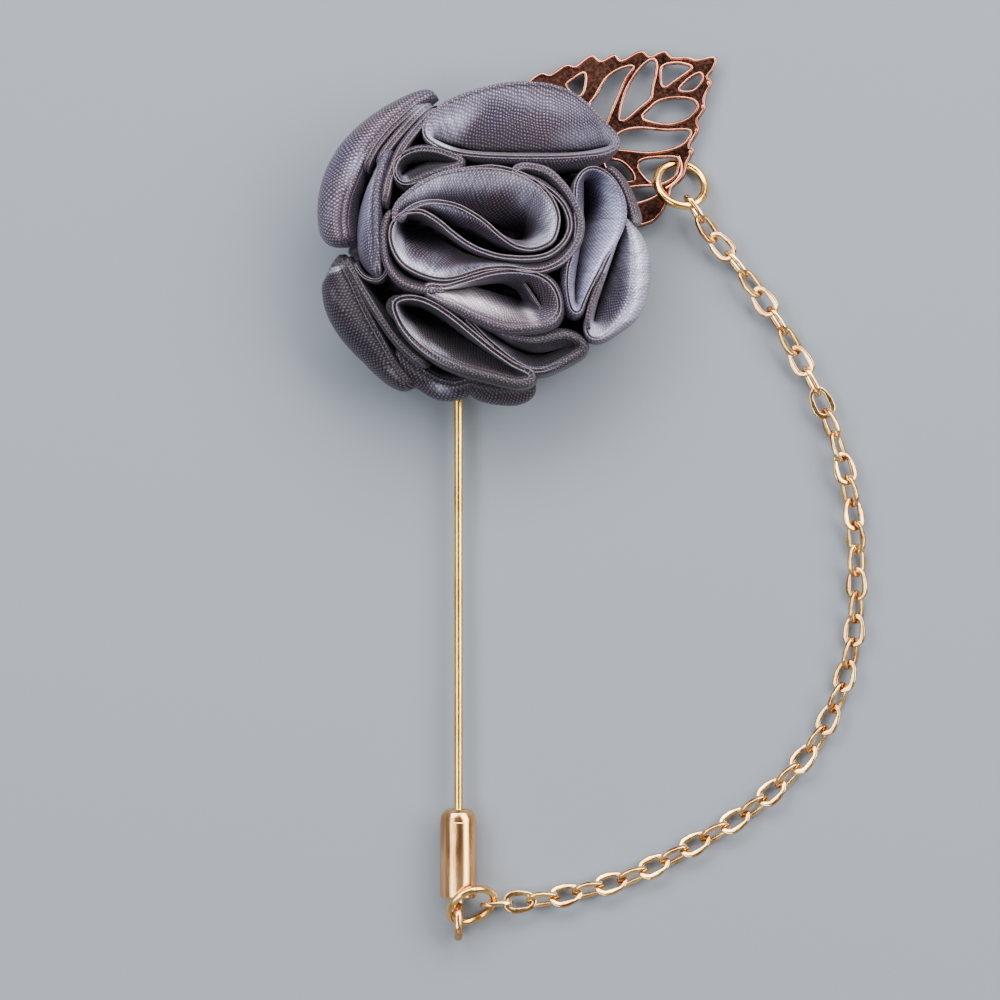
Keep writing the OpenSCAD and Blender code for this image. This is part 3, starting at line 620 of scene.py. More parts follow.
def makeFlower():
    petal("petalCentreRight", [
        (396, 219, 0, .1, 0), (397, 208, 0, .1, 0), (406, 197, 0, .1, 0), (422, 185, 0, .1, 0),
        (438, 177, 0, .1, 0), (458, 172, 0, .1, 0), (482, 169.5, .4, .2, .1), (499, 170, .9), (513, 173, 1),
        (529, 180, 1), (540, 188, 1), (549, 199, 1), (554, 209, 1), (556, 219, 1), (554, 231, 1),
        (550, 239, 1), (542, 244, 1), (533, 246.5, 1), (524, 246, 1, .3), (513, 242, 1, .5),
        (500, 232.5, 1, .9), (486, 220, 1, 1.5), (472, 210.5, 1, 2.0), (458, 203.5, 1, 2.1),
        (444, 200, .9, 1.8), (430, 199, .7, 1.2), (416, 202, .5, .6), (405, 208, .3, .2),
        (398, 216, .1, .1)], {
        "valley": [(403, 213, 0.8), (417, 205, 0.9), (431, 202.5, 1.2), (445, 203.5, 1.7), (459, 207.5, 2.4),
                   (473, 214.5, 3.4), (487, 224, 4.6), (501, 235, 6.2), (514, 239.5, 8), (521, 239, 8.5)],
        "count": 260, "flare": 0.25, "bulge": 1.9, "grain": 20, "outShine": 0.9,
        "replaces": ["petal_centre_right"],
        "paintedLightSpots": [(551, 221, 20, 8, 80, .7), (539, 239, 13, 6, -25, .7), (440, 207, 22, 4, 20, .35),
                   (528, 200, 22, 12, 60, .4), (515, 230, 10, 14, 30, -.3), (430, 188, 30, 8, -28, .35),
                   (475, 184, 45, 10, -5, .35)]})
    petal("petalCentreLeft", [
        (546, 174, .3), (557, 184, .2), (567, 197, .2), (574, 210, .2), (577, 222, .2), (575.5, 236, .3),
        (570, 248, .4), (562, 257.5, .6), (552, 264, .9), (540, 268, 1), (527, 268, 1), (513, 265.5, 1),
        (499, 265, 1), (485, 266.5, 1), (472, 270, 1), (460, 274, 1), (447, 276.5, 1), (434, 275.5, 1),
        (419, 270.5, 1), (405.5, 262.5, 1), (397, 251, 1), (393, 238, 1), (394, 227, 1), (398.5, 219.8, 1),
        (404, 215.5, 1), (411, 213.5, 1), (420.5, 213.5, 1), (430, 218, 1), (440, 225, 1), (449.5, 233.2, 1),
        (460.5, 241.6, 1), (471.5, 248.4, 1), (482.5, 253.2, 1), (499, 258, 1), (519.7, 260, 1),
        (537.6, 259.2, 1), (551.4, 255, 1), (563.8, 245.2, 1), (570.7, 233, 1), (572, 222, 1),
        (569.3, 211, 1), (563.8, 201, 1), (554.2, 191.3, 1), (540.4, 181.7, 1), (526.6, 176, .8),
        (517, 172, .5), (523, 169.3, .3), (535, 170.3, .3)], {
        "valley": [(409, 221, 7), (420, 222, 7.5), (433, 228, 7.5), (445, 235, 7), (455, 242, 6),
                   (465, 249, 5), (480, 256, 4), (500, 261, 2.6), (520, 263.3, 1.8), (538, 262.5, 1.5),
                   (552, 258.5, 1.5), (565.5, 247.5, 1.5), (573, 235, 1.5), (574.5, 222, 1.5),
                   (572, 210, 1.5), (565.5, 199, 1.5), (555, 188, 1.5), (543, 179, 1.5), (530, 174, 1.5),
                   (522, 172, 1.5)],
        "count": 420, "share": 0.12, "flare": 0.3, "tuck": 0.2, "bulge": 1.7,
        "replaces": ["petal_centre_left", "petal_centre_wrap"],
        "paintedLightSpots": [(400, 246, 20, 6, 75, .7), (421, 268, 20, 6, 22, .65), (450, 271, 20, 4, -12, .4),
                   (500, 263, 26, 3, -4, .3), (443, 254, 18, 9, -20, .2), (425, 230, 18, 9, 20, -.9)]})
    petal("petalCentreBand", [
        (448, 286, .3, 448, 282, 3, .3), (430, 287.5, .1, 431, 283, 3, .3), (410, 283, 0, 413, 279, 3, .3),
        (398, 275, 0, 402, 272, 3, .3), (390, 263, 0, 394, 261, 3, .3), (387, 249, 0, 391, 248, 3, .3),
        (386.5, 234, 0, 391, 234, 3, .3), (389.5, 220, 0, 393, 222, 3, .3),
        (395, 210, 0, 398, 213, 3, .3)], {
        "count": 140, "wall": 0.4, "soft": 0.7})
    petal("petalTop", [
        (427, 134, .9, .3, .4), (427.5, 124, .3, 0, .3), (433, 115, .1, 0, 0), (445, 106, 0, 0, 0),
        (461, 98, 0, 0, 0), (480, 91.5, 0, 0, 0), (500, 87, 0, 0, 0), (521, 85, 0, 0, 0), (542, 86, 0, 0, 0),
        (558, 89.5, 0, 0, 0), (573, 96, 0, 0, 0), (587, 107, 0, 0, 0), (599, 120, 0, 0, 0),
        (610, 131, 0, 0, 0), (616, 139, 0, 0, 0), (615, 145, .3, .3, .2), (603, 150.5, .7, .8, .4),
        (585, 153, 1, 1.3, .5), (565, 154.5, 1, 1.5, .5), (545, 155, 1, 1.5, .5), (520, 155, 1, 1.3, .5),
        (500, 154.5, 1, 1.1, .5), (480, 153.5, 1, .8, .5), (462, 151.5, 1, .6, .5), (447, 147.5, 1, .5, .5),
        (434, 141, 1, .4, .5)], {
        "valley": [(434, 138.5, 1), (448, 145, 1.8), (463, 149.3, 2.4), (482, 151.6, 2.9), (505, 152.6, 3.1),
                   (540, 153.2, 3), (570, 152.7, 2.6), (592, 150.5, 1.8), (608, 146, .8)],
        "count": 260, "wall": 0.4, "share": 0.03, "bulge": 1.35, "bandShade": 0.5, "finish": "paintedLitSatin",
        "grain": -8, "replaces": ["petal_top"],
        "paintedLightSpots": [(440, 138, 24, 13, -55, 1.8), (462, 121, 24, 10, -50, .5), (582, 141, 26, 11, -5, .7),
                   (506, 137, 36, 15, 12, -.4), (540, 102, 60, 9, 12, .2), (540, 160, 90, 6, 0, -1.3)]})
    petal("petalSmall", [
        (404, 181, 1), (398, 176, 1), (396.5, 168, 1), (400, 160, 1), (408, 154.5, .8), (420, 151.5, .5),
        (434, 152.5, .4), (446, 156, .4), (458, 161.5, .3), (450, 164.5, .2), (438, 167.5, .1),
        (426, 172, .1), (414, 178.5, .4)], {
        "valley": [(403, 174, 3.5), (411, 166, 5), (422, 162, 5.5), (436, 161, 4.5), (450, 162, 3)],
        "wall": 0.4, "flare": 0.6, "bulge": 1.5, "finish": "paintedShadeSatin", "replaces": ["petal_small"],
        "paintedLightSpots": [(404, 176, 9, 4, 50, 1.0), (424, 167, 28, 10, -20, -1.0)]})
    petal("petalLeft", [
        (381, 278, .5, 384, 272, 3, .6), (381, 266, .3, 385, 264, 4, 1.5), (381, 252, .1, 385, 251, 5, 1.9),
        (380.5, 238, 0, 385, 238, 5, 2.0), (380, 222, 0, 385, 222, 5, 1.9), (380, 206, 0, 385, 207, 5, 1.6),
        (381, 190, 0, 386, 192, 5, 1.1), (384, 175, 0, 389, 177, 5, .6), (388, 161, 0, 393, 164, 5, .2),
        (393, 150, .1, 397, 154, 4, .1)], {
        "count": 220, "wall": 0.5, "endDip": 0.8, "finish": "blueSatin", "grain": 30, "outShine": 1.0,
        "replaces": ["petal_left"],
        "paintedLightSpots": [(364, 215, 42, 5, 100, .35), (372, 178, 18, 4, 112, .5), (375, 225, 50, 4, 95, -.55),
                   (353, 228, 40, 3, 96, -.4)]})
    petal("petalLeftRim", [
        (386, 258, 1, 383.5, 258, 3, .2), (385.5, 270, 1, 383, 269, 3, .2), (379, 278, 1, 378, 275.5, 3, .3),
        (369, 277.5, 1, 370, 275, 3, .3), (361, 272, 1, 363, 270, 3, .3),
        (355.5, 262, .8, 358, 260, 3, .3)], {
        "count": 70, "wall": 0.3, "soft": 0.2, "lift": -0.4})
    folds = {
        "A": [(368, 172), (372, 161), (378, 150), (386, 139), (395, 129), (406, 119), (417, 109), (428, 101)],
        "B": [(381, 168), (386, 157), (393, 147), (402, 136), (412, 125), (423, 114), (434, 105)],
        "C": [(386, 208), (389, 195), (392, 181), (397, 167), (403, 153), (411, 141), (421, 129), (431, 118),
              (440, 109)],
    }
    lifts = {"A": -0.5, "B": -0.2, "C": -0.1}
    for letter, path in folds.items():
        petal("petalLeftFold" + letter, [(x, y, .5, x + 4, y + 2, 4, .6) for x, y in path], {
            "count": 30 + 16 * len(path), "wall": 0.5, "soft": 0.7, "lift": lifts[letter], "groove": 0.5,
            "endShare": 0.15, "outShine": 0.9, "paintedLightSpots": [(421, 108, 10, 6, -35, .6)]})
    petal("petalLeftOuter", [
        (351, 246, 0, 359, 246, 3, 2.1), (348, 222, 0, 358, 222, 3, 2.5), (350, 202, 0, 359, 204, 3, 2.8),
        (357, 182, 0, 366, 185, 3, 3.0), (366, 162, 0, 374, 166, 3, 2.8), (378, 144, 0, 385, 149, 3, 2.4),
        (392, 128, 0, 398, 133, 3, 1.9), (408, 114, 0, 412, 119, 3, 1.4), (424, 103, 0, 427, 108, 3, .9),
        (438, 97, 0, 439, 101, 3, .5)], {
        "count": 180, "wall": 0.5, "lift": -0.8, "tuck": 0.0, "finish": "paintedLitSatin", "outShine": 1.0,
        "replaces": ["petal_left_outer"],
        "paintedLightSpots": [(330, 212, 36, 6, 93, .45), (353, 172, 36, 5, 118, .6), (338, 216, 40, 12, 92, -.7),
                   (378, 135, 26, 6, -40, -.6), (366, 160, 30, 4, 120, -.5)]})
    petal("petalLowerLeft", [
        (417, 385, .2, 419, 380, 3, .9), (408, 376, .2, 412, 372, 3, 1.4), (396, 360, .3, 402, 357, 3, 2.1),
        (384, 339, .4, 390, 336, 3, 2.9), (373, 319, .4, 380, 316, 3, 3.5), (363, 299, .4, 371, 296, 3, 3.7),
        (355, 281, .4, 363, 278, 3, 3.4), (347, 265, .3, 356, 262, 3, 2.6),
        (339, 254, .1, 346, 255, 3, 1.5)], {
        "count": 160, "wall": 0.45, "lift": -1.4, "tuck": 0.0, "finish": "paintedShadeSatin", "outShine": 1.0,
        "replaces": ["petal_lower_left"],
        "paintedLightSpots": [(336, 269, 11, 4, -20, 1.0), (338, 300, 24, 4, 62, .4), (392, 372, 18, 5, 45, .5),
                   (372, 318, 80, 20, 58, -.8), (333, 257, 14, 5, -10, -.8)]})
    petal("petalLowerLeftFold", [
        (431, 365, .3, 434, 361, 4, .5), (416, 355, .3, 420, 350, 4, .5), (404, 344, .3, 409, 339, 4, .5),
        (393, 331, .3, 399, 327, 4, .5), (382, 315, .3, 389, 311, 4, .5), (372, 299, .3, 379, 296, 4, .5),
        (363, 284, .3, 370, 281, 4, .5), (355, 269, .3, 361, 267, 4, .5), (347, 257, .3, 352, 257, 4, .5)], {
        "count": 150, "wall": 0.36, "lift": -0.5, "bandShade": 0.55, "finish": "paintedShadeSatin", "outShine": 1.0,
        "paintedLightSpots": [(385, 312, 80, 20, 55, -1.2)]})
    petal("petalBottom", [
        (397, 305, 1, 1.0), (402, 301, 1, .5), (410, 300, 1, .4), (420, 301.5, 1, .3), (432, 306.5, 1, .3),
        (444, 314, 1), (456, 323, 1), (468, 333, 1), (480, 343, 1), (490, 351, 1), (501, 359, 1),
        (512, 366.5, 1), (523, 372, .8), (528, 376.5, .3), (519, 378.5, .1), (505, 376, .1), (490, 372, .1),
        (474, 368, .1), (458, 363, .2), (443, 356.5, .3), (429, 348.5, .5), (417, 339, .7), (407, 328, .9),
        (400, 316, 1)], {
        "valley": [(406, 307, 5.5), (420, 308, 6.5), (437, 316, 7), (452, 327, 6.8), (468, 339, 6),
                   (484, 350, 4.6), (500, 361, 3), (514, 369, 1.6)],
        "count": 240, "wall": 0.56, "flare": 0.45, "bulge": 1.5, "bandShade": 0.5, "finish": "paintedShadeSatin",
        "outShine": 1.0, "replaces": ["petal_bottom"],
        "paintedLightSpots": [(409, 325, 20, 5, 62, .4), (440, 351, 24, 4, 32, .3), (465, 345, 30, 12, 35, -.5),
                   (434, 318, 30, 9, 35, -.8), (470, 374, 60, 9, 15, -.9)]})
    petal("petalLowerRight", [
        (470, 317, .3), (485, 327, .2), (500, 334.5, .2), (516, 340.5, .2), (534, 342.5, .2), (550, 340, .2),
        (563, 337.5, .2), (574, 341, .1), (579, 347, .1), (572, 353, .1), (559, 360, .2), (546, 366.5, .5),
        (534, 368, .8), (521, 363, 1), (509, 355, 1), (498, 346, 1), (487, 336.5, 1), (477, 326, 1)], {
        "valley": [(480, 325, 1.5), (495, 336, 3), (510, 346, 4.5), (528, 354, 5.2), (546, 353, 4.2),
                   (562, 348, 2.6)],
        "wall": 0.4, "lift": -0.6, "flare": 0.7, "bulge": 1.5, "finish": "paintedShadeSatin", "outShine": 0.8,
        "replaces": ["petal_lower_right"],
        "paintedLightSpots": [(512, 350, 16, 7, 35, .4), (545, 352, 40, 12, -10, -.6)]})
    petal("petalMiddle", [
        (430, 288.5, .8), (445, 289, 1), (460, 285, 1), (476, 280, 1), (492, 275.5, 1), (508, 273.5, 1),
        (524, 274, 1), (538, 277.5, 1), (549, 285, 1), (555, 295, 1), (557, 306, 1), (554, 314, .6),
        (547, 319, .2), (536, 322, .1), (522, 323.5, .1), (508, 323.5, .1), (494, 320, .1), (480, 314, .1),
        (466, 307, .1), (452, 299.5, .2), (438, 293, .5)], {
        "valley": [(438, 290, .8), (455, 289.5, 1.6), (472, 286, 2.6), (488, 283.5, 4), (504, 284, 5.6),
                   (515, 290, 6.2), (520, 299, 5)],
        "count": 240, "wall": 0.5, "flare": 0.7, "finish": "warmSatin", "replaces": ["petal_middle"],
        "paintedLightSpots": [(458, 294, 30, 8, 12, 1.6), (494, 309, 26, 6, 14, .55), (529, 312, 14, 4, 60, .6),
                   (548, 300, 20, 6, 80, -.6), (511, 289, 14, 8, 20, -.9)]})
    petal("petalMiddleEdge", [
        (519, 278, 1, 516, 281, 3, 0), (525, 286, 1, 522, 288, 3, 0), (531, 295, 1, 528, 297, 3, 0),
        (537, 304, 1, 534, 306, 3, 0), (542, 313, 1, 539, 314, 3, 0), (545, 318, 1, 542, 318, 3, 0)], {
        "count": 70, "wall": 0.24, "lift": -1.7, "groove": 0.1, "endDip": 1.2, "endShare": 0.25,
        "finish": "warmSatin"})
    petal("petalRight", [
        (577, 196, 1, .5), (578, 184, 1, .5), (583, 174.5, 1, .3), (590, 170, 1, .2),
        (598, 170.5, .8, .1, .2), (607, 176, .4, .1, .1), (615, 185, .1, .1, 0), (621, 197, 0, .1, 0),
        (623.5, 210, 0, .1, 0), (622, 223, .1, .1, 0), (617, 235, .2, .1, .1), (611, 246, .3, .1, .2),
        (604, 256, .6, .1, .3), (599, 266, .8, .1, .3), (593, 278, 1, .1, .3), (587, 290, 1, .2, .3),
        (582, 301, 1, .4), (578, 310, 1, .6), (573.5, 308, 1, .9), (570.5, 298, 1, 1.0), (569, 284, 1, 1.0),
        (570, 269, 1, .9), (573.5, 256, 1, .6), (577, 243, .9, .4), (579, 228, .8, .4),
        (578, 211, .9, .4)], {
        "valley": [(584, 181, 3), (584, 198, 5), (584, 215, 5.6), (583, 232, 5.2), (580, 250, 4.4),
                   (577, 268, 3.6), (575, 285, 2.8), (575.5, 300, 1.8)],
        "count": 260, "wall": 0.38, "share": 0.03, "bulge": 1.4, "finish": "blueSatin", "grain": 35,
        "replaces": ["petal_right"],
        "paintedLightSpots": [(605, 225, 30, 15, 100, 1.6), (590, 262, 32, 11, 110, 1.2), (606, 190, 16, 8, 70, .5),
                   (575, 300, 24, 6, 90, .5)]})
    petal("petalRightStrip", [
        (603, 270, .3, 607, 272, 4, .2), (600, 277, .3, 604, 279, 4, .2), (596, 285, .3, 600, 287, 4, .2),
        (590.5, 298, .3, 595, 300, 4, .2), (586.5, 311, .3, 591, 311, 4, .2),
        (585, 323, .3, 590, 321, 4, .2), (588, 333, .3, 592, 328, 4, .2)], {
        "count": 120, "wall": 0.34, "lift": -0.4})
    petal("petalRightOuter", [
        (624, 221, .1, .3, .1), (628, 232, .1, 1.1, .1), (630.5, 244, .1, 1.6, .1), (632, 258, .1, 1.9, .1),
        (632, 275, .1, 1.9, .1), (631, 290, .1, 1.8, .1), (628, 303, .1, 1.6, .1), (622, 315, .1, 1.3, .1),
        (614, 325, .2, .9, .1), (605, 333, .3, .7, .1), (597, 336.5, .5, .6, .1), (590.5, 334, .8, .5, .2),
        (588.5, 324, .8, .3), (590, 311, .8, 0), (594, 298, .8, 0), (599, 284, .8, 0), (605, 270, .8, 0),
        (611, 256, .7, 0), (617, 243, .5, 0), (621, 231, .3, 0)], {
        "valley": [(621, 230, 1.8), (617, 245, 2.8), (612, 260, 3.5), (607, 275, 4), (602, 290, 4),
                   (597, 305, 3.6), (594, 320, 2.6)],
        "count": 260, "wall": 0.36, "lift": -0.5, "waist": 0.45, "bulge": 1.4, "light": 3.0,
        "finish": "paintedLitSatin", "grain": 30, "outShine": 1.0, "replaces": ["petal_right_outer"],
        "paintedLightSpots": [(640, 266, 50, 12, 90, 1.5), (628, 316, 26, 7, -45, 1.0), (594, 329, 12, 7, 0, 1.2),
                   (614, 266, 44, 10, 110, .9), (600, 300, 14, 5, 100, -.3)]})
    petal("petalRightFold", [
        (604, 169, 0, 600, 173, 3, .3), (613, 177, 0, 609, 181, 3, .4), (620, 188, 0, 615, 190, 3, .5),
        (625, 201, 0, 620, 202, 3, .6), (629, 215, 0, 624, 216, 3, .8), (632, 228, 0, 628, 229, 3, 1.0)], {
        "count": 90, "wall": 0.4, "lift": -1.2, "tuck": 0.0, "outShine": 1.0,
        "paintedLightSpots": [(642, 232, 14, 5, 70, .5)]})
    petal("petalUnder", [
        (534, 377, 0, 532, 373, 2, 1.3), (522, 381, 0, 521, 376, 2, 1.8), (502, 381, 0, 502, 376, 2, 1.9),
        (482, 378, 0, 484, 373, 2, 1.7), (468, 376, 0, 470, 371, 2, 1.1), (456, 379, 0, 459, 375, 2, 1.6),
        (443, 377, 0, 447, 372, 2, 1.8), (431, 371, 0, 436, 366, 2, 1.7), (419, 363, 0, 425, 358, 2, 1.8),
        (408, 353, 0, 414, 348, 2, 1.6), (400, 343, 0, 406, 339, 2, 1.0)], {
        "count": 160, "wall": 0.4, "lift": -2.6, "base": 3.2, "tuck": 0.0, "waist": 0.5,
        "finish": "paintedShadeSatin", "outShine": 1.0, "replaces": ["petal_under"],
        "paintedLightSpots": [(440, 388, 12, 5, 20, .45), (500, 386, 50, 7, 5, -.9)]})


pleatWave = {"second": 0.5, "rate": 1.63, "up": 0.6}  # a second, faster wave, and how much of it goes up


def softSolid(name, look, finish, slot, replaced):  # a closed cloth body with a ruffle of pleats
    around, pleats = look["around"], look["pleats"]
    verts, faces = [], []
    for radius, z, ruffle in look["rings"]:
        for i in range(around):
            a = 2 * math.pi * i / around
            wave = math.sin(a * pleats) + pleatWave["second"] * math.sin(a * pleats * pleatWave["rate"] + 1)
            wave *= ruffle
            r = radius + wave
            verts.append(tuple(fromFlower(r * math.cos(a), r * math.sin(a), z + wave * pleatWave["up"])))
    for k in range(len(look["rings"]) - 1):
        for i in range(around):
            j = (i + 1) % around
            faces.append((k * around + i, k * around + j, (k + 1) * around + j, (k + 1) * around + i))
    faces.append(tuple(range(around)))
    faces.append(tuple(len(verts) - around + i for i in range(around)))
    piece = meshPiece(name, verts, faces)
    only(piece)
    edit()
    closeEdit(60)
    piece.data.materials.append(finishes[finish])
    handOver(piece, slot, replaced)
    print("back", name)


def makeBack():
    base = {"around": 360, "pleats": 46, "rings": [  # radius, height and ruffle
        (0.4, 2.68, 0), (6, 2.66, 0), (12.5, 2.66, .04), (14.4, 2.85, .12), (14.9, 3.3, .15),
        (14.4, 3.9, .15), (13, 4.35, .13), (11, 4.8, .12), (8.5, 5.2, .1), (5, 5.55, .07), (2, 5.7, .02),
        (0.4, 5.72, 0)]}
    softSolid("gatheredDressed", base, "gatheredSatin", "satin_dark", "gathered_base")
    felt = {"around": 96, "pleats": 7, "rings": [
        (0.4, 0.0, 0), (11.6, 0.0, 0), (11.88, 0.06, .03), (11.98, 0.3, .03), (11.98, 0.7, .03),
        (11.9, 0.92, .03), (11.65, 0.995, .02), (0.4, 1.0, 0)]}
    softSolid("feltDressed", felt, "felt", "felt", "back_pad")


# Leaf
leafEdge = [
    (4.7, 18.2), (5.9, 19.0), (6.9, 18.8), (8.6, 19.9), (9.7, 19.8), (11.4, 21.0), (12.5, 20.4),
    (14.0, 21.1), (14.8, 20.5), (17.0, 21.5), (18.0, 20.9), (19.6, 21.5), (20.5, 20.8), (22.2, 20.8),
    (23.2, 20.5), (25.2, 20.8), (25.0, 19.6), (24.3, 18.6), (24.8, 18.1), (24.0, 16.2), (24.1, 15.2),
    (23.2, 13.7), (23.4, 12.8), (22.3, 10.9), (22.8, 10.5), (22.1, 9.1), (21.6, 7.5), (20.3, 6.2),
    (19.9, 4.8), (18.6, 2.9), (16.9, 2.2), (13.8, 2.0), (9.7, 2.8), (6.4, 4.6), (3.7, 6.4), (1.9, 9.3),
    (1.4, 12.6), (2.4, 15.9)]
leafOpenings = {
    "tipUpper": [(19.4, 19.6), (20.7, 20.0), (22.1, 19.8), (22.3, 19.4), (20.8, 18.4), (19.8, 17.6),
                 (19.3, 18.0)],
    "tipLower": [(21.3, 17.4), (22.3, 18.3), (23.2, 18.9), (23.6, 18.6), (23.3, 17.8), (22.6, 17.2),
                 (21.6, 17.1)],
    "upperLong": [(14.6, 14.1), (14.9, 15.6), (15.5, 17.2), (16.4, 18.8), (17.3, 19.9), (18.2, 20.4),
                  (18.6, 20.0), (18.5, 18.8), (18.1, 17.4), (17.9, 16.3), (16.9, 15.4), (15.5, 14.1),
                  (14.9, 13.9)],
    "lowerLong": [(17.2, 14.2), (18.0, 15.1), (19.1, 15.9), (20.7, 16.2), (22.3, 16.1), (23.0, 15.6),
                  (22.8, 14.8), (21.7, 13.9), (19.9, 13.5), (18.2, 13.7)],
    "upperMid": [(11.4, 15.4), (12.1, 16.5), (13.2, 18.3), (14.5, 19.3), (15.8, 19.7), (16.0, 19.4),
                 (15.1, 18.1), (14.2, 16.2), (13.7, 14.8), (13.1, 13.5), (12.3, 13.9)],
    "upperSmall": [(8.9, 17.6), (9.8, 18.4), (10.6, 18.9), (10.8, 18.4), (10.6, 17.2), (10.1, 16.6)],
    "lowerMid": [(13.8, 11.5), (15.1, 12.6), (16.9, 12.9), (19.5, 12.7), (21.7, 12.8), (22.3, 12.5),
                 (21.7, 11.4), (20.2, 10.7), (18.0, 10.4), (15.5, 10.5), (14.2, 10.7)],
    "ringGap": [(16.7, 8.8), (17.3, 9.5), (19.3, 9.7), (20.9, 9.6), (20.8, 8.4), (20.4, 7.6), (19.2, 7.0),
                (18.1, 7.1), (17.2, 7.9)],
    "lowSmall": [(13.0, 9.3), (14.6, 9.3), (15.6, 8.5), (16.1, 7.7), (15.8, 7.2), (14.2, 7.4)],
    "lowEnd": [(15.5, 6.2), (16.9, 6.5), (18.6, 6.5), (18.8, 5.8), (17.6, 5.2), (15.9, 4.8)],
}
leafVein = [(21.1, 9.9), (21.4, 9.0), (21.3, 8.0), (20.7, 7.1), (19.7, 6.4)]  # a raised line beside the ring
leafBeads = [(24.35, 17.9), (23.75, 15.3), (23.05, 12.7), (22.35, 10.3)]  # cast in the notches of the edge


# A wire: its points, count of steps, height, and whether it closes
def curvePiece(name, wires, bevel, rounds, extrude=0.0, up=0.0):
    curve = bpy.data.curves.new(name, "CURVE")
    curve.dimensions, curve.fill_mode = ("2D", "BOTH") if extrude else ("3D", "FULL")
    curve.extrude, curve.bevel_depth, curve.bevel_resolution = extrude * mm, bevel * mm, rounds
    for points, count, z, closed in wires:
        line = smoothRows(points, count, closed)
        spline = curve.splines.new("POLY")
        spline.points.add(len(line) - 1)
        for point, (x, y) in zip(spline.points, line):
            point.co = (*fromFlower(x, y, z), 1)
        spline.use_cyclic_u = closed
    piece = bpy.data.objects.new(name, curve)
    piece.location.z = up * mm
    bpy.context.collection.objects.link(piece)
    only(piece)
    bpy.ops.object.convert(target="MESH")
    settle()
    return bpy.context.object


def moved(points, step, least=0.4):  # each point this far away from the middle of them all
    middle = np.mean(points, axis=0)
    away = np.array(points) - middle
    return middle + away * (1 + step / np.maximum(np.linalg.norm(away, axis=1), least))[:, None]


def makeLeaf():
    look = {"bottom": 1.1, "sheet": 0.45, "edge": 0.04, "edgeSteps": 260, "steps": 60,
            "rimWire": 0.18, "rimUp": 0.03, "rimOut": 0.16, "edgeIn": 0.2, "veinWire": 0.12, "veinUp": 0.02,
            "bead": 0.3, "beadSize": (0.9, 1.15, 0.75), "beadDown": 0.02}
    top = look["bottom"] + look["sheet"]
    outline = [(leafEdge, look["edgeSteps"], 0, True)]
    outline += [(opening, look["steps"], 0, True) for opening in leafOpenings.values()]
    plate = curvePiece("leafPlate", outline, look["edge"], 1, look["sheet"] / 2 - look["edge"],
                       look["bottom"] + look["sheet"] / 2)
    plate.data.materials.append(finishes["antiqueCopper"])
    rims = [(moved(opening, look["rimOut"]), look["steps"], top + look["rimUp"], True)
            for opening in leafOpenings.values()]
    rims.append((moved(leafEdge, -look["edgeIn"]), look["edgeSteps"], top, True))
    vein = (leafVein, look["steps"], top + look["veinUp"], False)
    raised = [curvePiece("leafRims", rims, look["rimWire"], 3),
              curvePiece("leafVein", [vein], look["veinWire"], 2)]
    for x, y in leafBeads:
        bpy.ops.mesh.primitive_uv_sphere_add(segments=16, ring_count=10, radius=look["bead"] * mm,
                                             location=fromFlower(x, y, top - look["beadDown"]))
        bpy.ops.transform.resize(value=look["beadSize"])
        settle()
        raised.append(bpy.context.object)
    for part in raised:
        part.data.materials.append(finishes["brightCopper"])
    leaf = joined("leafDressed", plate, *raised)
    bpy.ops.object.shade_smooth_by_angle(angle=math.radians(40))
    handOver(leaf, "antique_copper", "leaf")
    print("leaf", len(leaf.data.polygons))


# Metal findings
def turned(degrees, axis):
    return Matrix.Rotation(math.radians(degrees), 4, axis)


def place(piece, matrix):
    piece.matrix_world = matrix @ piece.matrix_world
    only(piece)
    settle()


def spin(steps, angle):  # the whole outline, round the z axis
    bpy.ops.mesh.select_all(action="SELECT")
    bpy.ops.mesh.spin(steps=steps, angle=angle, center=(0, 0, 0), axis=(0, 0, 1))
    bpy.ops.mesh.select_all(action="SELECT")


def ovalRing(name, look):  # a ring drawn out along x
    wire, flat = look["wire"], look["flat"]
    bpy.ops.mesh.primitive_plane_add(size=wire * mm, rotation=(math.pi / 2, 0, 0))
    ring = bpy.context.object
    ring.name = name
    settle()
    edit()
    bpy.ops.transform.resize(value=(flat, 1, 1))
    bpy.ops.transform.translate(value=((look["wide"] - wire * flat) / 2 * mm, 0, 0))
    bpy.ops.mesh.bevel(offset=wire * look["corner"] * mm, segments=3, affect="VERTICES")
    bpy.ops.mesh.delete(type="ONLY_FACE")
    spin(look["steps"], 2 * math.pi)
    bpy.ops.mesh.remove_doubles(threshold=1e-6)
    bpy.ops.mesh.normals_make_consistent(inside=False)
    bpy.ops.object.mode_set(mode="OBJECT")
    half = (look["long"] - look["wide"]) / 2 * mm
    for side in (1, -1):
        for vert in ring.data.vertices:
            vert.select = vert.co.x * side > 1e-7
        for part in (*ring.data.edges, *ring.data.polygons):
            part.select = all(ring.data.vertices[i].select for i in part.vertices)
        bpy.ops.object.mode_set(mode="EDIT")
        bpy.ops.transform.translate(value=(side * half, 0, 0))
        bpy.ops.object.mode_set(mode="OBJECT")
    bpy.ops.object.shade_smooth_by_angle(angle=math.radians(50))
    return ring


def jumpRing(name, replaced, look):
    bpy.ops.mesh.primitive_circle_add(vertices=16, radius=look["wire"] / 2 * mm, fill_type="NGON",
                                      location=((look["wide"] - look["wire"]) / 2 * mm, 0, 0),
                                      rotation=(math.pi / 2, 0, 0))
    ring = bpy.context.object
    ring.name = name
    settle()
    edit()
    spin(72, math.radians(360 - look["gap"]))
    closeEdit(50)
    place(ring, Matrix.Translation(fromFlower(*look["at"])) @ turned(look["low"], "Z")
          @ turned(look["lean"], "Y") @ turned(look["seam"], "Z"))
    ring.data.materials.append(finishes["ringGold"])
    handOver(ring, "gold_wire", replaced)


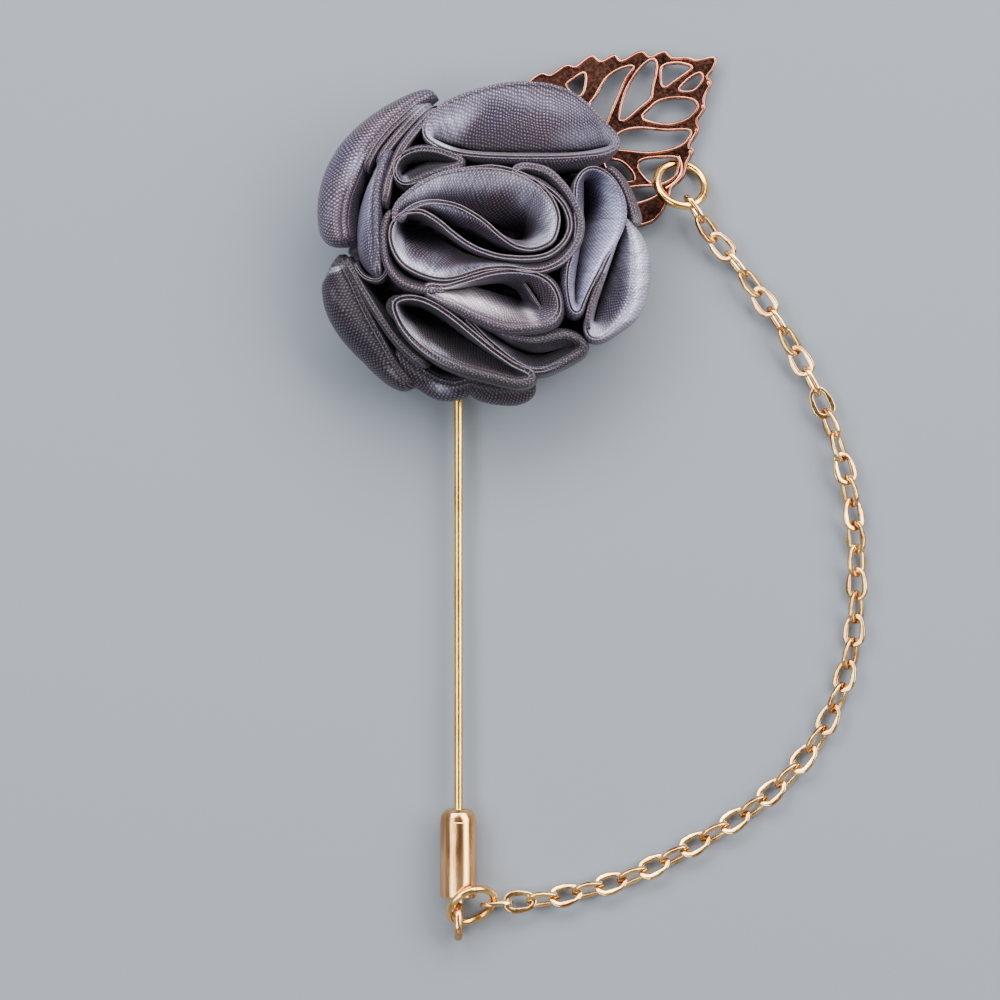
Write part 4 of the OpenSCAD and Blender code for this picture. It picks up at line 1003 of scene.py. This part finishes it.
def lathe(name, profile, vertices=48):  # rows of (radius, distance along -y), from one end to the other
    first = profile[0]
    bpy.ops.mesh.primitive_circle_add(vertices=vertices, radius=first[0] * mm, fill_type="NGON",
                                      location=(0, -first[1] * mm, 0), rotation=(math.pi / 2, 0, 0))
    piece = bpy.context.object
    piece.name = name
    settle()
    edit()
    for before, after in zip(profile, profile[1:]):
        step = (0, (before[1] - after[1]) * mm, 0)
        bpy.ops.mesh.extrude_region_move(TRANSFORM_OT_translate={"value": step})
        size = after[0] / before[0]
        bpy.ops.transform.resize(value=(size, 1, size), center_override=(0, -after[1] * mm, 0))
    closeEdit(16)
    return piece


def makePin():
    look = {"x": -3.05, "z": 2.0, "pad": 5.0, "padDeep": 0.8, "padZ": 1.7}
    stem = lathe("pinWire", [(0.05, 70.15), (0.28, 69.0), (0.46, 67.4), (0.5, 66.6), (0.5, 1.0)])
    place(stem, Matrix.Translation(fromFlower(look["x"], 0, look["z"])))
    bpy.ops.mesh.primitive_cylinder_add(vertices=64, radius=look["pad"] * mm, depth=look["padDeep"] * mm,
                                        location=fromFlower(look["x"], 0, look["padZ"]))
    settle()
    stem = joined("pinWire", stem, bpy.context.object)
    stem.data.materials.append(finishes["paleGold"])
    handOver(stem, "gold_wire", "pin_stem")
    print("pin wire")


def makeClutch():
    at = (-3.05, -61.65, 2.0)
    bore, mouth, wide, neck = 0.65, 1.4, 2.0, 0.62  # radii
    shoulder, length = 1.4, 9.8  # places along it
    eyeLook = {"long": 4.4, "wide": 3.9, "wire": 0.9, "steps": 40, "corner": 0.42, "flat": 1.0}
    body = lathe("clutchDressed", [
        (0.01, 8.8), (bore, 8.8), (bore, 0.35), (bore + 0.12, 0.06), (bore + 0.3, 0.0),  # the blind bore
        (mouth - 0.08, 0.0), (mouth, 0.07), (wide - 0.27, 0.34), (wide - 0.12, 0.68), (wide - 0.045, 1.0),
        (wide - 0.03, shoulder - 0.06), (wide, shoulder), (wide, length - 0.32), (wide - 0.14, length - 0.12),
        (wide - 0.4, length - 0.02), (neck + 0.15, length), (neck, length + 0.12), (neck, length + 0.45),
        (0.01, length + 0.5)], vertices=64)
    eye = ovalRing("clutchEye", eyeLook)
    eyeAt = (0, -(length + 0.25 + eyeLook["long"] / 2) * mm, 0)
    place(eye, Matrix.Translation(eyeAt) @ turned(90, "Y") @ turned(90, "Z"))
    body = joined("clutchDressed", body, eye)
    place(body, Matrix.Translation(fromFlower(*at)))
    body.data.materials.append(finishes["roseGold"])
    handOver(body, "rose_gold", "clutch")
    print("clutch")


def makeRings():
    jumpRing("upperRing", "upper_ring", {
        "at": (21.35, 6.78, 1.88), "low": 65.5, "lean": 31, "wide": 6.36, "wire": 0.95, "gap": 1.6,
        "seam": -95})
    jumpRing("lowerRing", "lower_ring", {
        "at": (-1.585, -72.135, 2.76), "low": -61.4, "lean": 49, "wide": 6.04, "wire": 0.86, "gap": 1.6,
        "seam": 150})
    print("rings")


chainLine = [
    (22.8, 4.05, 2.4), (24.3, 1.85, 1.75), (26.1, -0.3, 1.45), (28.4, -3.2, 1.38), (31.7, -7.8, 1.38),
    (35.0, -13.5, 1.38), (37.8, -19.6, 1.4), (39.8, -26.7, 1.4), (40.6, -33.3, 1.25), (40.4, -42.1, 1.08),
    (38.6, -49.5, 1.05), (35.1, -55.9, 1.05), (29.5, -61.4, 1.05), (23.2, -65.4, 1.05), (16.0, -69.1, 1.05),
    (8.6, -71.2, 1.15), (4.75, -71.75, 1.38), (1.15, -72.05, 1.55)]
chainLook = {"links": 42, "long": 3.74, "wide": 2.62, "wire": 0.48, "steps": 28, "corner": 0.28, "flat": 1.14,
             "inner": 0.57, "squeeze": 0.85}
linkTurns = {"first": 78, "step": 60, "again": 10, "run": 13, "even": 24, "odd": 130, "ease": 36,
             "easeOver": 6, "last": (15, 92)}


# How far each link is turned about the chain's line, in degrees. From the upper ring each turns one step on,
# and starts again once. In the run the even and the odd links have a turn each, which the first of them reach
# by and by, and the last two links have their own
def linkTurn(i):
    turns = linkTurns
    if i < turns["again"]:
        return turns["first"] + turns["step"] * i
    if i < turns["run"]:
        return turns["step"] * (i - turns["again"])
    if i < chainLook["links"] - 2:
        ease = max(0, 1 - (i - turns["run"]) / turns["easeOver"])
        return turns["odd" if i % 2 else "even"] + turns["ease"] * ease
    return turns["last"][i - chainLook["links"]]


def makeLink():
    link = ovalRing("link", chainLook)
    inner = (chainLook["wide"] / 2 - chainLook["wire"] * chainLook["inner"]) * mm
    half = (chainLook["long"] - chainLook["wide"]) / 2 * mm
    for vert in link.data.vertices:  # the long sides are hammered wider than the ends
        vert.select = math.hypot(max(abs(vert.co.x) - half, 0), vert.co.y) < inner
    bpy.ops.object.mode_set(mode="EDIT")
    bpy.ops.mesh.select_mode(type="VERT")
    bpy.ops.transform.resize(value=(1, chainLook["squeeze"], 1))
    bpy.ops.object.mode_set(mode="OBJECT")
    return link


def makeChain():
    fine = curveThrough(chainLine, False, 8)
    length = np.r_[0, np.cumsum(np.linalg.norm(np.diff(fine, axis=0), axis=1))]
    pitch = length[-1] / (chainLook["links"] - 1)
    master = makeLink()
    links = []
    for i in range(chainLook["links"]):
        k = min(max(int(np.searchsorted(length, i * pitch)), 1), len(length) - 1)
        way = fine[k] - fine[k - 1]
        at = fine[k - 1] + way * ((i * pitch - length[k - 1]) / (length[k] - length[k - 1]))
        way /= np.linalg.norm(way)
        link = master.copy()
        link.data = master.data.copy()
        bpy.context.collection.objects.link(link)
        along = Matrix.Rotation(math.atan2(way[1], way[0]), 4, "Z")
        rise = Matrix.Rotation(-math.asin(way[2]), 4, "Y")
        link.matrix_world = Matrix.Translation(fromFlower(*at)) @ along @ rise @ turned(linkTurn(i), "X")
        links.append(link)
    bpy.data.objects.remove(master)
    only(*links)
    settle()
    chain = joined("chainDressed", *links)
    chain.data.materials.append(finishes["champagneGold"])
    handOver(chain, "champagne_gold", "chain")
    print("chain", len(chain.data.polygons))


deselect()
makeCamera()
makeStage()
makeFlower()
makeBack()
makeLeaf()
makePin()
makeClutch()
makeRings()
makeChain()
